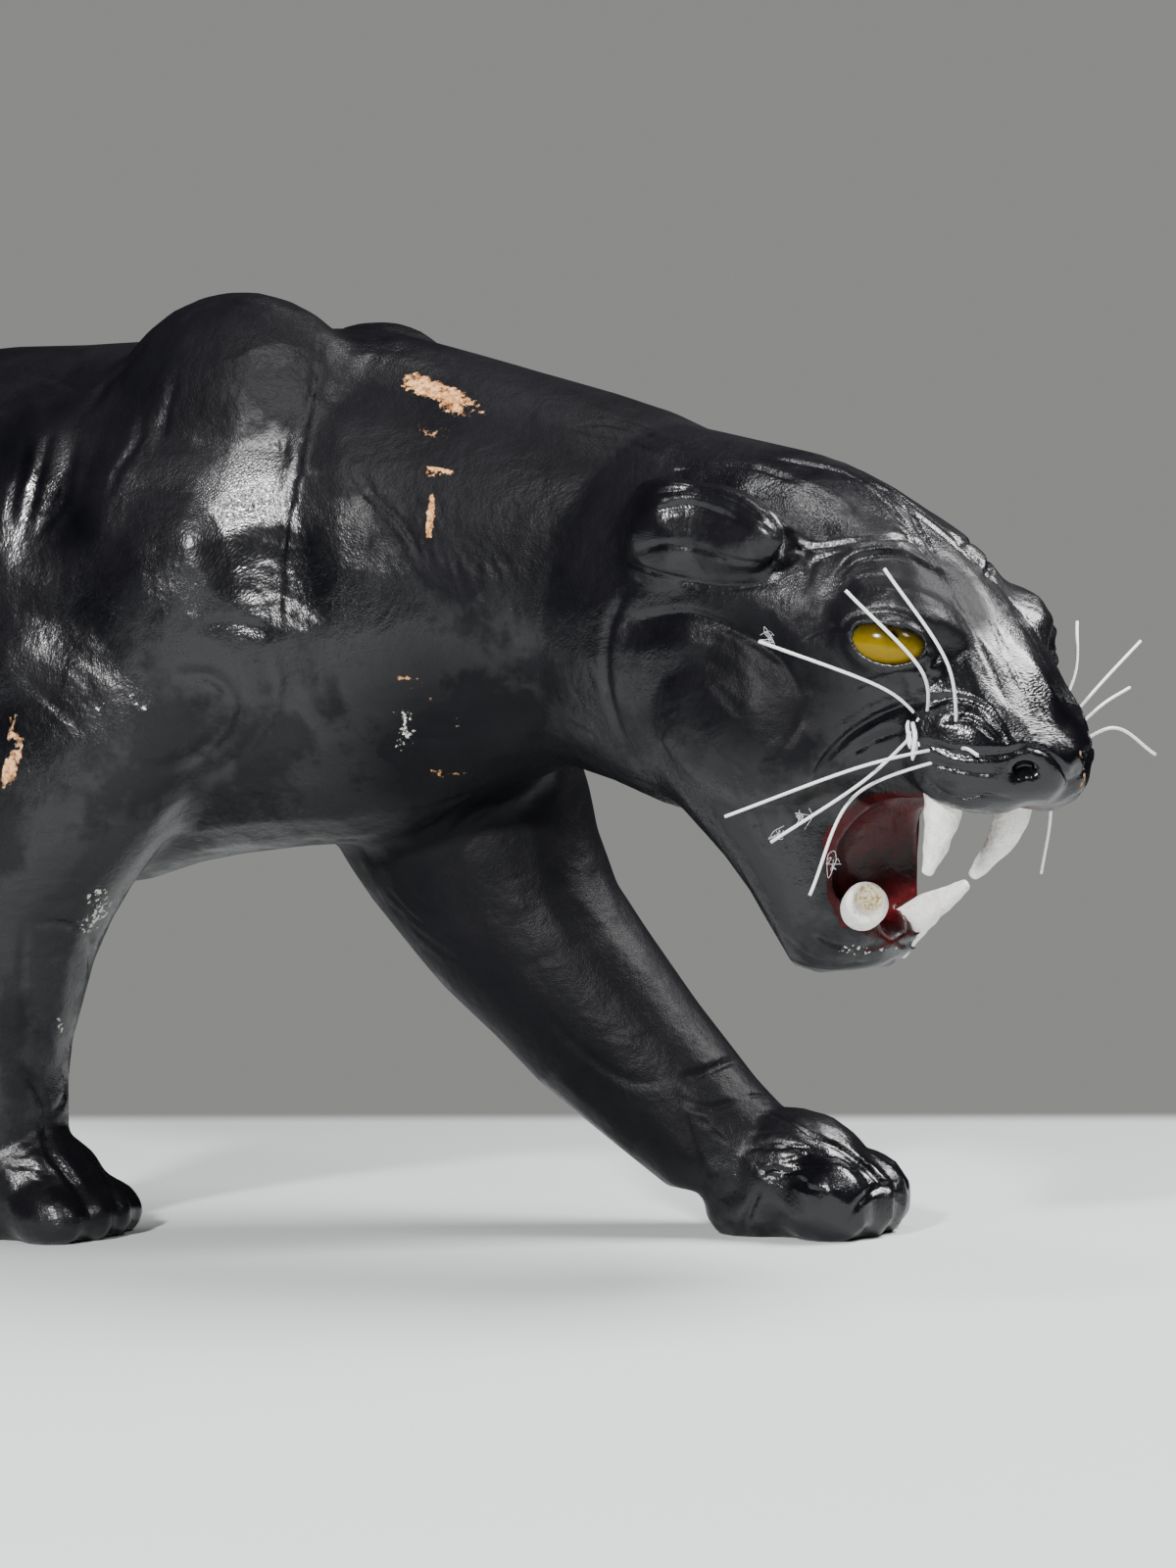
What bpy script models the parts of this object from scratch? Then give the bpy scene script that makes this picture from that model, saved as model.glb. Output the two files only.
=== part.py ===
"""A leather-covered panther, stalking with its head low and turned to its right, jaws open.

The figure stands on its four flat soles. +X is forward, +Z is up, and the origin lies on
the ground under the middle of its bounding box. Everything is in metres. The tables hold a
pattern figure's own sizes, and SHOULDER_HEIGHT scales the hide and the teeth all at once.
"""

import math

import bmesh
import bpy
import numpy as np
from mathutils import Matrix, Vector

# Driving sizes
SHOULDER_HEIGHT = 0.492
HEAD_TURN = math.radians(-16.0)
EYE_WIDTH = 0.034
EYE_HEIGHT = 0.022
EYE_DEPTH = 0.018
EYE_PROUD = 0.0035
EYE_SEGMENTS = (16, 10)
WHISKER_DIAMETER = 0.0018
WHISKER_ROOT = 0.004
WHISKER_STEP = 0.018
WHISKER_SIDES = 5
GAP = 0.0003
MOST_FACES = 6100

# Finishes: colour, roughness
FINISHES = {
    "black_leather": ((0.012, 0.012, 0.015, 1.0), 0.34),
    "amber_glass": ((0.55, 0.34, 0.02, 1.0), 0.06),
    "ivory_teeth": ((0.78, 0.75, 0.68, 1.0), 0.45),
    "white_bristle": ((0.82, 0.84, 0.85, 1.0), 0.30),
}

# The pattern figure, which the tables below measure
PATTERN_HEIGHT = 0.492
GROW = SHOULDER_HEIGHT / PATTERN_HEIGHT
COARSE_GRAIN = 0.0055 * GROW
FINE_GRAIN = 0.0030 * GROW
RING_SIDES = 28
EGG_DETAIL = 4
STATION_STEP = 0.008
NAPE = Vector((0.330, 0.0, 0.0))

# Trunk and neck: x, top, bottom, half width
TRUNK = (
    (-0.562, 0.398, 0.352, 0.026),
    (-0.545, 0.428, 0.314, 0.054),
    (-0.505, 0.452, 0.282, 0.076),
    (-0.440, 0.464, 0.268, 0.086),
    (-0.350, 0.460, 0.262, 0.080),
    (-0.260, 0.461, 0.248, 0.084),
    (-0.160, 0.472, 0.220, 0.094),
    (-0.060, 0.481, 0.196, 0.101),
    (0.010, 0.478, 0.184, 0.101),
    (0.070, 0.476, 0.196, 0.098),
    (0.130, 0.475, 0.202, 0.090),
    (0.190, 0.470, 0.205, 0.080),
    (0.240, 0.455, 0.222, 0.073),
    (0.290, 0.438, 0.240, 0.071),
    (0.340, 0.421, 0.238, 0.070),
    (0.372, 0.407, 0.236, 0.062),
)

# Skull and muzzle in the head's own frame: u forward of the nape, top, bottom, half width
SKULL = (
    (-0.040, 0.420, 0.240, 0.062),
    (0.000, 0.417, 0.229, 0.070),
    (0.040, 0.407, 0.216, 0.074),
    (0.080, 0.397, 0.212, 0.075),
    (0.120, 0.386, 0.214, 0.073),
    (0.150, 0.373, 0.213, 0.068),
    (0.175, 0.357, 0.213, 0.061),
    (0.195, 0.339, 0.213, 0.053),
    (0.215, 0.320, 0.213, 0.046),
    (0.235, 0.297, 0.213, 0.040),
    (0.250, 0.273, 0.214, 0.034),
    (0.260, 0.255, 0.217, 0.027),
    (0.267, 0.242, 0.222, 0.017),
)
# Lower jaw in the head's frame: height, back, front, v of the middle, half width
JAW = (
    (0.139, 0.114, 0.146, 0.0, 0.022),
    (0.144, 0.108, 0.155, 0.0, 0.031),
    (0.153, 0.103, 0.161, 0.0, 0.036),
    (0.166, 0.096, 0.162, 0.0, 0.041),
    (0.185, 0.084, 0.161, 0.0, 0.047),
    (0.205, 0.064, 0.162, 0.0, 0.053),
    (0.225, 0.040, 0.166, 0.0, 0.059),
    (0.245, 0.022, 0.170, 0.0, 0.063),
)

# Legs: height, back edge, front edge, y of the middle, half width
RIGHT_FORE_LEG = (
    (0.024, -0.058, 0.006, -0.056, 0.033),
    (0.060, -0.060, 0.006, -0.056, 0.033),
    (0.084, -0.062, 0.007, -0.056, 0.034),
    (0.104, -0.064, 0.011, -0.057, 0.036),
    (0.125, -0.067, 0.020, -0.058, 0.038),
    (0.146, -0.070, 0.029, -0.060, 0.041),
    (0.166, -0.075, 0.042, -0.062, 0.044),
    (0.187, -0.082, 0.060, -0.064, 0.046),
    (0.215, -0.092, 0.088, -0.065, 0.048),
    (0.250, -0.092, 0.114, -0.064, 0.049),
    (0.290, -0.070, 0.134, -0.060, 0.047),
    (0.330, -0.035, 0.142, -0.054, 0.043),
)
LEFT_FORE_LEG = (
    (0.022, 0.312, 0.398, 0.060, 0.032),
    (0.052, 0.270, 0.382, 0.060, 0.036),
    (0.078, 0.235, 0.359, 0.060, 0.038),
    (0.098, 0.214, 0.342, 0.060, 0.040),
    (0.118, 0.191, 0.325, 0.060, 0.043),
    (0.139, 0.170, 0.309, 0.060, 0.046),
    (0.159, 0.152, 0.294, 0.060, 0.048),
    (0.179, 0.136, 0.281, 0.059, 0.050),
    (0.205, 0.120, 0.272, 0.057, 0.052),
    (0.240, 0.102, 0.266, 0.054, 0.052),
    (0.280, 0.086, 0.252, 0.050, 0.050),
    (0.325, 0.076, 0.230, 0.046, 0.046),
)
RIGHT_HIND_LEG = (
    (0.024, -0.424, -0.372, -0.062, 0.031),
    (0.060, -0.440, -0.386, -0.062, 0.030),
    (0.095, -0.463, -0.403, -0.062, 0.031),
    (0.125, -0.484, -0.413, -0.062, 0.033),
    (0.150, -0.492, -0.410, -0.063, 0.035),
    (0.180, -0.484, -0.390, -0.065, 0.041),
    (0.215, -0.478, -0.356, -0.066, 0.047),
    (0.255, -0.488, -0.328, -0.064, 0.052),
    (0.300, -0.510, -0.322, -0.058, 0.054),
    (0.345, -0.525, -0.335, -0.050, 0.051),
    (0.390, -0.525, -0.370, -0.042, 0.044),
)
LEFT_HIND_LEG = (
    (0.024, -0.622, -0.570, 0.062, 0.031),
    (0.060, -0.640, -0.586, 0.062, 0.030),
    (0.095, -0.660, -0.600, 0.062, 0.031),
    (0.125, -0.670, -0.598, 0.062, 0.033),
    (0.150, -0.656, -0.572, 0.063, 0.035),
    (0.180, -0.630, -0.530, 0.065, 0.041),
    (0.215, -0.604, -0.478, 0.066, 0.047),
    (0.255, -0.585, -0.430, 0.064, 0.052),
    (0.300, -0.570, -0.398, 0.058, 0.054),
    (0.345, -0.556, -0.380, 0.050, 0.051),
    (0.390, -0.545, -0.390, 0.042, 0.044),
)

# Tail: x, y and z of the middle, radius
TAIL = (
    (-0.520, 0.000, 0.408, 0.034),
    (-0.560, 0.000, 0.392, 0.029),
    (-0.600, -0.002, 0.352, 0.024),
    (-0.632, -0.005, 0.296, 0.021),
    (-0.662, -0.008, 0.236, 0.019),
    (-0.698, -0.012, 0.182, 0.018),
    (-0.744, -0.014, 0.150, 0.017),
    (-0.790, -0.012, 0.152, 0.0165),
    (-0.824, -0.008, 0.180, 0.016),
    (-0.838, -0.006, 0.202, 0.014),
)

# Paws: x and y of the middle, half length, height of the instep and of the toes
PAWS = (
    (-0.004, -0.057, 0.051, 0.060, 0.031),
    (0.388, 0.060, 0.053, 0.064, 0.041),
    (-0.384, -0.062, 0.052, 0.054, 0.032),
    (-0.582, 0.062, 0.052, 0.054, 0.032),
)
PAW_HALF_WIDTH = 0.037
TOES = 4
TOE_LENGTH = 0.027
TOE_HALF_WIDTH = 0.0150
TOE_CURL = 0.011
HEEL_SIZE = (0.033, 0.0326, 0.024)

# Fangs in the head's frame: the root's radius, then root, middle and tip
FANGS = {
    "fang_upper_right": (0.0100, (0.215, -0.026, 0.230), (0.212, -0.028, 0.206), (0.205, -0.029, 0.187)),
    "fang_upper_left": (0.0098, (0.216, 0.026, 0.226), (0.208, 0.025, 0.202), (0.193, 0.021, 0.184)),
    "fang_lower_left": (0.0102, (0.140, 0.023, 0.152), (0.158, 0.026, 0.166), (0.181, 0.029, 0.178)),
}
FANG_TAPER = 0.70
FANG_SIDES = 9

# The broken fang's stub: its middle line, its radius, and the step back and share of each ring
STUB_ROOT = (0.150, -0.014, 0.166)
STUB_TOP = (0.167, -0.026, 0.173)
STUB_RADIUS = 0.0103
STUB_RINGS = (
    (0.0220, 0.86),
    (0.0110, 1.00),
    (0.0020, 1.00),
    (0.0000, 0.84),
    (0.0005, 0.60),
    (0.0030, 0.34),
)
STUB_SIDES = 10

# Strokes on both sides of the head: width, height (cut in when negative) and the line
HEAD_STROKES = {
    "upper_lid": (0.009, 0.0030, ((0.190, -0.064, 0.300), (0.204, -0.062, 0.306), (0.222, -0.052, 0.300))),
    "lower_lid": (0.009, 0.0025, ((0.190, -0.062, 0.289), (0.204, -0.058, 0.279), (0.222, -0.050, 0.281))),
    "tear_duct": (0.010, -0.0030, ((0.228, -0.046, 0.291), (0.236, -0.038, 0.280))),
    "brow": (0.012, 0.0022, ((0.182, -0.064, 0.312), (0.200, -0.058, 0.320), (0.222, -0.046, 0.314))),
    "over_brow": (0.012, -0.0018, ((0.150, -0.066, 0.334), (0.176, -0.056, 0.342), (0.200, -0.044, 0.334))),
    "jowl": (0.014, -0.0040, ((0.066, -0.080, 0.306), (0.100, -0.080, 0.310), (0.148, -0.070, 0.294))),
    "cheek": (0.014, -0.0030, ((0.148, -0.070, 0.294), (0.168, -0.062, 0.272), (0.186, -0.052, 0.250))),
    "ear_slot": (0.010, -0.0050, ((0.104, -0.084, 0.357), (0.122, -0.082, 0.356), (0.142, -0.076, 0.349))),
    "ear_root": (0.013, -0.0040, ((0.072, -0.078, 0.386), (0.110, -0.070, 0.380))),
    "nostril": (0.0075, -0.0060, ((0.254, -0.027, 0.234), (0.260, -0.020, 0.230))),
    "upper_lip": (0.008, 0.0025, ((0.182, -0.046, 0.226), (0.208, -0.044, 0.225), (0.236, -0.034, 0.216))),
    "lower_lip": (0.008, 0.0025, ((0.160, -0.042, 0.200), (0.161, -0.038, 0.172), (0.162, -0.028, 0.152))),
}
NOSE_GROOVE = ((0.268, 0.0, 0.228), (0.262, 0.0, 0.217))
# Strokes round the near shoulder blade, in the figure's frame
SHOULDER_STROKES = {
    "behind_blade": (0.036, -0.0060, ((0.060, -0.095, 0.430), (0.042, -0.104, 0.370))),
    "before_blade": (0.036, -0.0050, ((0.176, -0.085, 0.440), (0.176, -0.088, 0.340))),
    "blade": (0.022, 0.0035, ((0.128, -0.098, 0.440), (0.132, -0.104, 0.360))),
}

# Whiskers in the head's frame: where each leaves the lip, its middle and its tip
WHISKERS_RIGHT = (
    ((0.214, -0.042, 0.256), (0.207, -0.062, 0.271), (0.166, -0.096, 0.293)),
    ((0.218, -0.042, 0.257), (0.232, -0.064, 0.278), (0.214, -0.092, 0.313)),
    ((0.212, -0.042, 0.251), (0.206, -0.074, 0.229), (0.173, -0.100, 0.203)),
    ((0.231, -0.038, 0.247), (0.244, -0.060, 0.280), (0.228, -0.082, 0.322)),
    ((0.225, -0.040, 0.243), (0.206, -0.078, 0.235), (0.155, -0.110, 0.215)),
    ((0.226, -0.040, 0.238), (0.200, -0.074, 0.222), (0.188, -0.092, 0.179)),
    ((0.232, -0.038, 0.242), (0.244, -0.048, 0.242), (0.256, -0.056, 0.239)),
)
WHISKERS_LEFT = (
    ((0.226, 0.040, 0.252), (0.224, 0.062, 0.276), (0.216, 0.076, 0.301)),
    ((0.228, 0.039, 0.247), (0.234, 0.070, 0.272), (0.235, 0.100, 0.291)),
    ((0.230, 0.038, 0.242), (0.236, 0.064, 0.260), (0.235, 0.090, 0.269)),
    ((0.232, 0.037, 0.237), (0.243, 0.064, 0.250), (0.247, 0.092, 0.237)),
    ((0.218, 0.042, 0.234), (0.206, 0.064, 0.212), (0.192, 0.074, 0.182)),
)


FIGURE = Matrix.Scale(GROW, 4)
HEAD = FIGURE @ Matrix.Translation(NAPE) @ Matrix.Rotation(HEAD_TURN, 4, "Z")


def through(stations, step=STATION_STEP):
    """Stations along a Catmull-Rom curve through the given rows, about step apart."""
    rows = [np.array(row, float) for row in stations]
    rows = [2 * rows[0] - rows[1], *rows, 2 * rows[-1] - rows[-2]]
    found = []
    for before, start, end, after in zip(rows, rows[1:], rows[2:], rows[3:]):
        count = max(1, round(float(np.linalg.norm(end - start)) / step))
        for t in (index / count for index in range(count)):
            bend = (end - before) * t + (2 * before - 5 * start + 4 * end - after) * t**2
            found.append(start + 0.5 * (bend + (3 * start - before - 3 * end + after) * t**3))
    found.append(rows[-2])
    return found


def add_ring(bm, centre, across, along, sides):
    """An ellipse of loose edges with the half axes across and along."""
    frame = Matrix((across, along, across.cross(along).normalized())).transposed().to_4x4()
    matrix = Matrix.Translation(centre) @ frame
    made = bmesh.ops.create_circle(bm, segments=sides, radius=1.0, matrix=matrix)
    return list({edge for vert in made["verts"] for edge in vert.link_edges})


def add_skin(bm, rings, sides=RING_SIDES):
    """A closed skin over a row of (centre, across, along) rings."""
    loops = [add_ring(bm, *ring, sides) for ring in rings]
    for loop, following in zip(loops, loops[1:]):
        bmesh.ops.bridge_loops(bm, edges=loop + following)
    for loop in (loops[0], loops[-1]):
        bmesh.ops.contextual_create(bm, geom=loop)


def add_upright(bm, stations, place):
    """A form that runs along x, from its top, bottom and half width."""
    turn = place.to_3x3()
    rings = []
    for x, top, bottom, half_width in through(stations):
        centre = place @ Vector((x, 0, (top + bottom) / 2))
        height = turn @ Vector((0, 0, (top - bottom) / 2))
        rings.append((centre, turn @ Vector((0, half_width, 0)), height))
    add_skin(bm, rings)


def add_level(bm, stations, place):
    """A form that runs up, from its back and front edges, its middle y and half width."""
    turn = place.to_3x3()
    rings = []
    for z, back, front, y, half_width in through(stations):
        centre = place @ Vector(((back + front) / 2, y, z))
        length = turn @ Vector(((front - back) / 2, 0, 0))
        rings.append((centre, length, turn @ Vector((0, half_width, 0))))
    add_skin(bm, rings)


def add_tube(bm, points, radii, sides):
    """A round form along a bent line, with its rings square to the line."""
    rings = []
    side = Vector((0, 1, 0))
    for index, (point, radius) in enumerate(zip(points, radii)):
        ahead = points[min(index + 1, len(points) - 1)] - points[max(index - 1, 0)]
        up = ahead.cross(side).normalized()
        side = up.cross(ahead).normalized()
        rings.append((point, side * radius, up * radius))
    add_skin(bm, rings, sides)


def add_egg(bm, centre, radii, place, lean=0.0, toe_in=0.0):
    """An ellipsoid, leant about y (nose down when positive) and turned about z."""
    turn = Matrix.Rotation(toe_in, 4, "Z") @ Matrix.Rotation(lean, 4, "Y")
    matrix = place @ Matrix.Translation(centre) @ turn @ Matrix.Diagonal((*radii, 1.0))
    bmesh.ops.create_icosphere(bm, subdivisions=EGG_DETAIL, radius=1.0, matrix=matrix)


def mesh_from(bm, name):
    """The bmesh as a mesh, with its faces pointing outwards."""
    bmesh.ops.recalc_face_normals(bm, faces=bm.faces)
    mesh = bpy.data.meshes.new(name)
    bm.to_mesh(mesh)
    bm.free()
    return mesh


def evaluated(mesh, kind, **values):
    """The mesh after one modifier."""
    obj = bpy.data.objects.new("working_form", mesh)
    bpy.context.scene.collection.objects.link(obj)
    modifier = obj.modifiers.new("step", kind)
    for key, value in values.items():
        setattr(modifier, key, value)
    graph = bpy.context.evaluated_depsgraph_get()
    made = bpy.data.meshes.new_from_object(obj.evaluated_get(graph), depsgraph=graph)
    bpy.data.objects.remove(obj)
    bpy.data.meshes.remove(mesh)
    return made


def fused(mesh, grain):
    """One closed skin round all the overlapping forms, at the given grain."""
    return evaluated(mesh, "REMESH", mode="VOXEL", voxel_size=grain)


def cut(mesh, cutter):
    """The mesh with the cutter's space taken away."""
    tool = bpy.data.objects.new("cutter", cutter)
    bpy.context.scene.collection.objects.link(tool)
    made = evaluated(mesh, "BOOLEAN", operation="DIFFERENCE", solver="EXACT", object=tool)
    bpy.data.objects.remove(tool)
    bpy.data.meshes.remove(cutter)
    return made


def points_of(mesh):
    flat = np.zeros(len(mesh.vertices) * 3, np.float32)
    mesh.vertices.foreach_get("co", flat)
    return flat.reshape(-1, 3).astype(float)


def normals_of(mesh):
    flat = np.zeros(len(mesh.vertices) * 3, np.float32)
    mesh.vertex_normals.foreach_get("vector", flat)
    return flat.reshape(-1, 3).astype(float)


def set_points(mesh, points):
    mesh.vertices.foreach_set("co", points.astype(np.float32).ravel())
    mesh.update()


def relax(mesh, passes):
    """Evens out the skin and keeps its volume: each pass pulls in, then pushes back out."""
    edges = np.zeros(len(mesh.edges) * 2, np.int32)
    mesh.edges.foreach_get("vertices", edges)
    first, second = edges.reshape(-1, 2).T
    points = points_of(mesh)
    shared = np.bincount(edges, minlength=len(points))[:, None]
    for step in [0.55, -0.57] * passes:
        around = np.zeros_like(points)
        np.add.at(around, first, points[second])
        np.add.at(around, second, points[first])
        points += step * (around / shared - points)
    set_points(mesh, points)


def stroke(mesh, place, line, width, height):
    """Raises a soft ridge along a line near the skin, or with a negative height cuts one."""
    points = points_of(mesh)
    corners = [np.array(place @ Vector(corner)) for corner in line]
    nearest = np.full(len(points), 1e9)
    for start, end in zip(corners, corners[1:] or corners):
        run = end - start
        share = np.clip(((points - start) @ run) / max(run @ run, 1e-12), 0, 1)
        away = np.linalg.norm(points - start - share[:, None] * run, axis=1)
        nearest = np.minimum(nearest, away)
    weight = (1 - np.minimum(nearest / (width * GROW), 1) ** 2) ** 2
    set_points(mesh, points + normals_of(mesh) * (weight * height * GROW)[:, None])


def large_forms():
    """Trunk, neck, skull, jaw, legs and tail, fused and eased into each other."""
    bm = bmesh.new()
    add_upright(bm, TRUNK, FIGURE)
    add_upright(bm, SKULL, HEAD)
    add_level(bm, JAW, HEAD)
    for leg in (RIGHT_FORE_LEG, LEFT_FORE_LEG, RIGHT_HIND_LEG, LEFT_HIND_LEG):
        add_level(bm, leg, FIGURE)
    tail = through(TAIL)
    middles = [FIGURE @ Vector(row[:3]) for row in tail]
    add_tube(bm, middles, [row[3] * GROW for row in tail], RING_SIDES)
    add_egg(bm, TAIL[-1][:3], (TAIL[-1][3],) * 3, FIGURE)
    # Shoulder blades, near one and far one
    add_egg(bm, (0.122, -0.039, 0.410), (0.084, 0.038, 0.082), FIGURE, lean=0.10)
    add_egg(bm, (0.156, 0.040, 0.404), (0.068, 0.036, 0.078), FIGURE, lean=0.10)
    # Points of the shoulders and the upper arms
    add_egg(bm, (0.100, -0.064, 0.330), (0.060, 0.038, 0.072), FIGURE, lean=0.25)
    add_egg(bm, (0.185, 0.064, 0.300), (0.062, 0.040, 0.075), FIGURE, lean=-0.35)
    add_egg(bm, (0.010, -0.074, 0.290), (0.070, 0.036, 0.048), FIGURE, lean=-0.35)
    # Haunches
    add_egg(bm, (-0.445, -0.048, 0.348), (0.092, 0.046, 0.100), FIGURE, lean=0.35)
    add_egg(bm, (-0.470, 0.048, 0.348), (0.092, 0.046, 0.100), FIGURE, lean=0.15)
    mesh = fused(mesh_from(bm, "large_forms"), COARSE_GRAIN)
    relax(mesh, 14)
    return mesh


def add_head_forms(bm):
    """Eye sockets' rims, cheeks, muzzle pads, nose and the laid-back ears."""
    for side in (-1, 1):
        # Cheek muscle under the ear
        add_egg(bm, (0.112, side * 0.043, 0.262), (0.058, 0.034, 0.044), HEAD, lean=0.45)
        # Broad flat forehead
        add_egg(bm, (0.168, side * 0.022, 0.322), (0.058, 0.028, 0.029), HEAD, lean=0.62)
        # The orbit that carries the eye, and the brow above it
        add_egg(bm, (0.196, side * 0.036, 0.291), (0.036, 0.026, 0.025), HEAD, 0.45, side * -0.35)
        add_egg(bm, (0.205, side * 0.038, 0.302), (0.030, 0.018, 0.015), HEAD, 0.45, side * -0.40)
        # Whisker pad and upper lip
        add_egg(bm, (0.230, side * 0.022, 0.238), (0.034, 0.022, 0.026), HEAD, 0.20, side * -0.40)
        add_egg(bm, (0.222, side * 0.030, 0.248), (0.024, 0.019, 0.020), HEAD, 0.30, side * -0.30)
        # Ear: a rounded lobe laid back along the head, the far one pressed flatter
        ear_v, ear_z = (-0.067, 0.349) if side < 0 else (0.060, 0.340)
        add_egg(bm, (0.110, ear_v, ear_z), (0.054, 0.012, 0.022), HEAD, 0.18, side * 0.10)
        add_egg(bm, (0.087, ear_v * 1.05, ear_z), (0.028, 0.013, 0.027), HEAD, 0.0, side * 0.12)
    # Bridge and tip of the nose
    add_egg(bm, (0.236, 0.0, 0.268), (0.040, 0.019, 0.017), HEAD, 1.00)
    add_egg(bm, (0.255, 0.0, 0.237), (0.016, 0.018, 0.013), HEAD, 0.35)


def add_mouth_cutters(bm):
    """The pocket of the open mouth: palate, throat and the floor between the lower lips."""
    add_egg(bm, (0.163, 0.0, 0.187), (0.028, 0.034, 0.033), HEAD, lean=0.30)
    add_egg(bm, (0.190, 0.0, 0.208), (0.036, 0.032, 0.018), HEAD, lean=0.10)
    add_egg(bm, (0.228, 0.0, 0.210), (0.024, 0.019, 0.008), HEAD)


def add_gums(bm):
    """The mounds on the floor of the mouth that the lower fang and the stub stand in."""
    add_egg(bm, (0.143, 0.021, 0.155), (0.017, 0.015, 0.012), HEAD, lean=-0.45)
    add_egg(bm, (0.148, -0.014, 0.163), (0.012, 0.014, 0.013), HEAD, lean=-0.45)


def carve(mesh):
    """The smaller forms that are pressed into the hide or stand up from it."""
    for width, height, line in HEAD_STROKES.values():
        for side in (1, -1):
            stroke(mesh, HEAD, [(u, side * v, z) for u, v, z in line], width, height)
    stroke(mesh, HEAD, NOSE_GROOVE, 0.0075, -0.0035)
    for width, height, line in SHOULDER_STROKES.values():
        stroke(mesh, FIGURE, line, width, height)


def add_paw(bm, x, y, half_length, height, toe_height):
    """A heavy rounded paw, deeper than the floor so that its sole can be cut flat."""
    add_egg(bm, (x - 0.022, y, 0.014), HEEL_SIZE, FIGURE)
    instep = (half_length * 0.80, PAW_HALF_WIDTH * 0.92, height * 0.56)
    add_egg(bm, (x - 0.004, y, height * 0.42), instep, FIGURE, lean=0.35)
    for toe in range(TOES):
        aside = (toe - (TOES - 1) / 2) / (TOES / 2)
        forward = x + half_length - TOE_LENGTH - TOE_CURL * aside**2
        centre = (forward, y + aside * (PAW_HALF_WIDTH - TOE_HALF_WIDTH / 3), toe_height * 0.45)
        size = (TOE_LENGTH, TOE_HALF_WIDTH, toe_height * 0.56)
        add_egg(bm, centre, size, FIGURE, 0.22, aside * 0.16)


def whole_hide():
    """The figure as one closed skin, with its soles cut flat, before its sockets are cut."""
    bm = bmesh.new()
    bm.from_mesh(large_forms())
    add_head_forms(bm)
    for paw in PAWS:
        add_paw(bm, *paw)
    mesh = fused(mesh_from(bm, "figure"), FINE_GRAIN)
    relax(mesh, 4)
    carve(mesh)
    cutter = bmesh.new()
    add_mouth_cutters(cutter)
    gums = bmesh.new()
    gums.from_mesh(cut(mesh, fused(mesh_from(cutter, "mouth"), FINE_GRAIN)))
    add_gums(gums)
    mesh = fused(mesh_from(gums, "figure"), FINE_GRAIN)
    relax(mesh, 2)
    mesh = evaluated(mesh, "DECIMATE", ratio=MOST_FACES / (2 * len(mesh.polygons)))
    floor = bmesh.new()
    slab = Matrix.Translation((0, 0, -0.1)) @ Matrix.Diagonal((2.0, 1.0, 0.2, 1.0))
    bmesh.ops.create_cube(floor, size=1.0, matrix=FIGURE @ slab)
    return cut(mesh, mesh_from(floor, "floor"))


def eye(side, grow=0.0):
    """An almond of glass, set at the surface of the orbit and leant down to the nose."""
    bm = bmesh.new()
    facing = Matrix.Rotation(math.radians(side * 56), 4, "Z") @ Matrix.Rotation(math.radians(-8), 4, "Y")
    tip = Matrix.Rotation(math.radians(side * 14), 4, "X")
    place = HEAD @ Matrix.Translation((0.2095, side * 0.0580, 0.2915)) @ facing @ tip
    place = place @ Matrix.Scale(1 / GROW, 4) @ Matrix.Translation((EYE_PROUD - EYE_DEPTH / 2, 0, 0))
    radii = (EYE_DEPTH / 2 + grow, EYE_WIDTH / 2 + grow, EYE_HEIGHT / 2 + grow)
    matrix = place @ Matrix.Diagonal((*radii, 1.0))
    around, over = EYE_SEGMENTS
    bmesh.ops.create_uvsphere(bm, u_segments=around, v_segments=over, radius=1.0, matrix=matrix)
    return mesh_from(bm, "eye")


def fang(radius, root, middle, tip, grow=0.0):
    """A curved tooth, thick at the root and rounded at the tip."""
    bm = bmesh.new()
    rows = through((root, middle, tip), 0.005)
    start = Vector(rows[0]) - (Vector(rows[1]) - Vector(rows[0])).normalized() * grow
    points = [HEAD @ start] + [HEAD @ Vector(row) for row in rows[1:]]
    last = len(points) - 1
    shares = [1 - FANG_TAPER * (index / last) ** 1.4 for index in range(last + 1)]
    add_tube(bm, points, [radius * GROW * share + grow for share in shares], FANG_SIDES)
    return mesh_from(bm, "fang")


def stub(grow=0.0):
    """What is left of the broken lower fang: a short plug with a crumbled hollow in its top."""
    bm = bmesh.new()
    top = Vector(STUB_TOP)
    ahead = (top - Vector(STUB_ROOT)).normalized()
    side = ahead.cross(Vector((0, 0, 1))).normalized()
    up = side.cross(ahead)
    turn = HEAD.to_3x3()
    rings = []
    for index, (back, share) in enumerate(STUB_RINGS):
        deeper = 0.0 if index else grow / GROW
        size = STUB_RADIUS * share + grow / GROW
        centre = HEAD @ (top - ahead * (back + deeper))
        rings.append((centre, turn @ side * size, turn @ up * size))
    add_skin(bm, rings, STUB_SIDES)
    return mesh_from(bm, "stub")


def whisker(root, middle, tip, grow=0.0):
    """A stiff bristle that starts inside the lip."""
    bm = bmesh.new()
    u, v, z = root
    inside = Vector((u, v - math.copysign(WHISKER_ROOT, v), z))
    rows = through((root, middle, tip), WHISKER_STEP)
    if grow:
        rows = rows[:2]
    points = [HEAD @ inside] + [HEAD @ Vector(row) for row in rows]
    add_tube(bm, points, [WHISKER_DIAMETER / 2 + grow] * len(points), WHISKER_SIDES)
    return mesh_from(bm, "whisker")


def finish(name):
    """The piece's material."""
    colour, roughness = FINISHES[name]
    material = bpy.data.materials.get(name) or bpy.data.materials.new(name)
    material.use_nodes = True
    shader = material.node_tree.nodes["Principled BSDF"]
    shader.inputs["Base Color"].default_value = colour
    shader.inputs["Roughness"].default_value = roughness
    shader.inputs["Metallic"].default_value = 0.0
    return material


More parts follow.
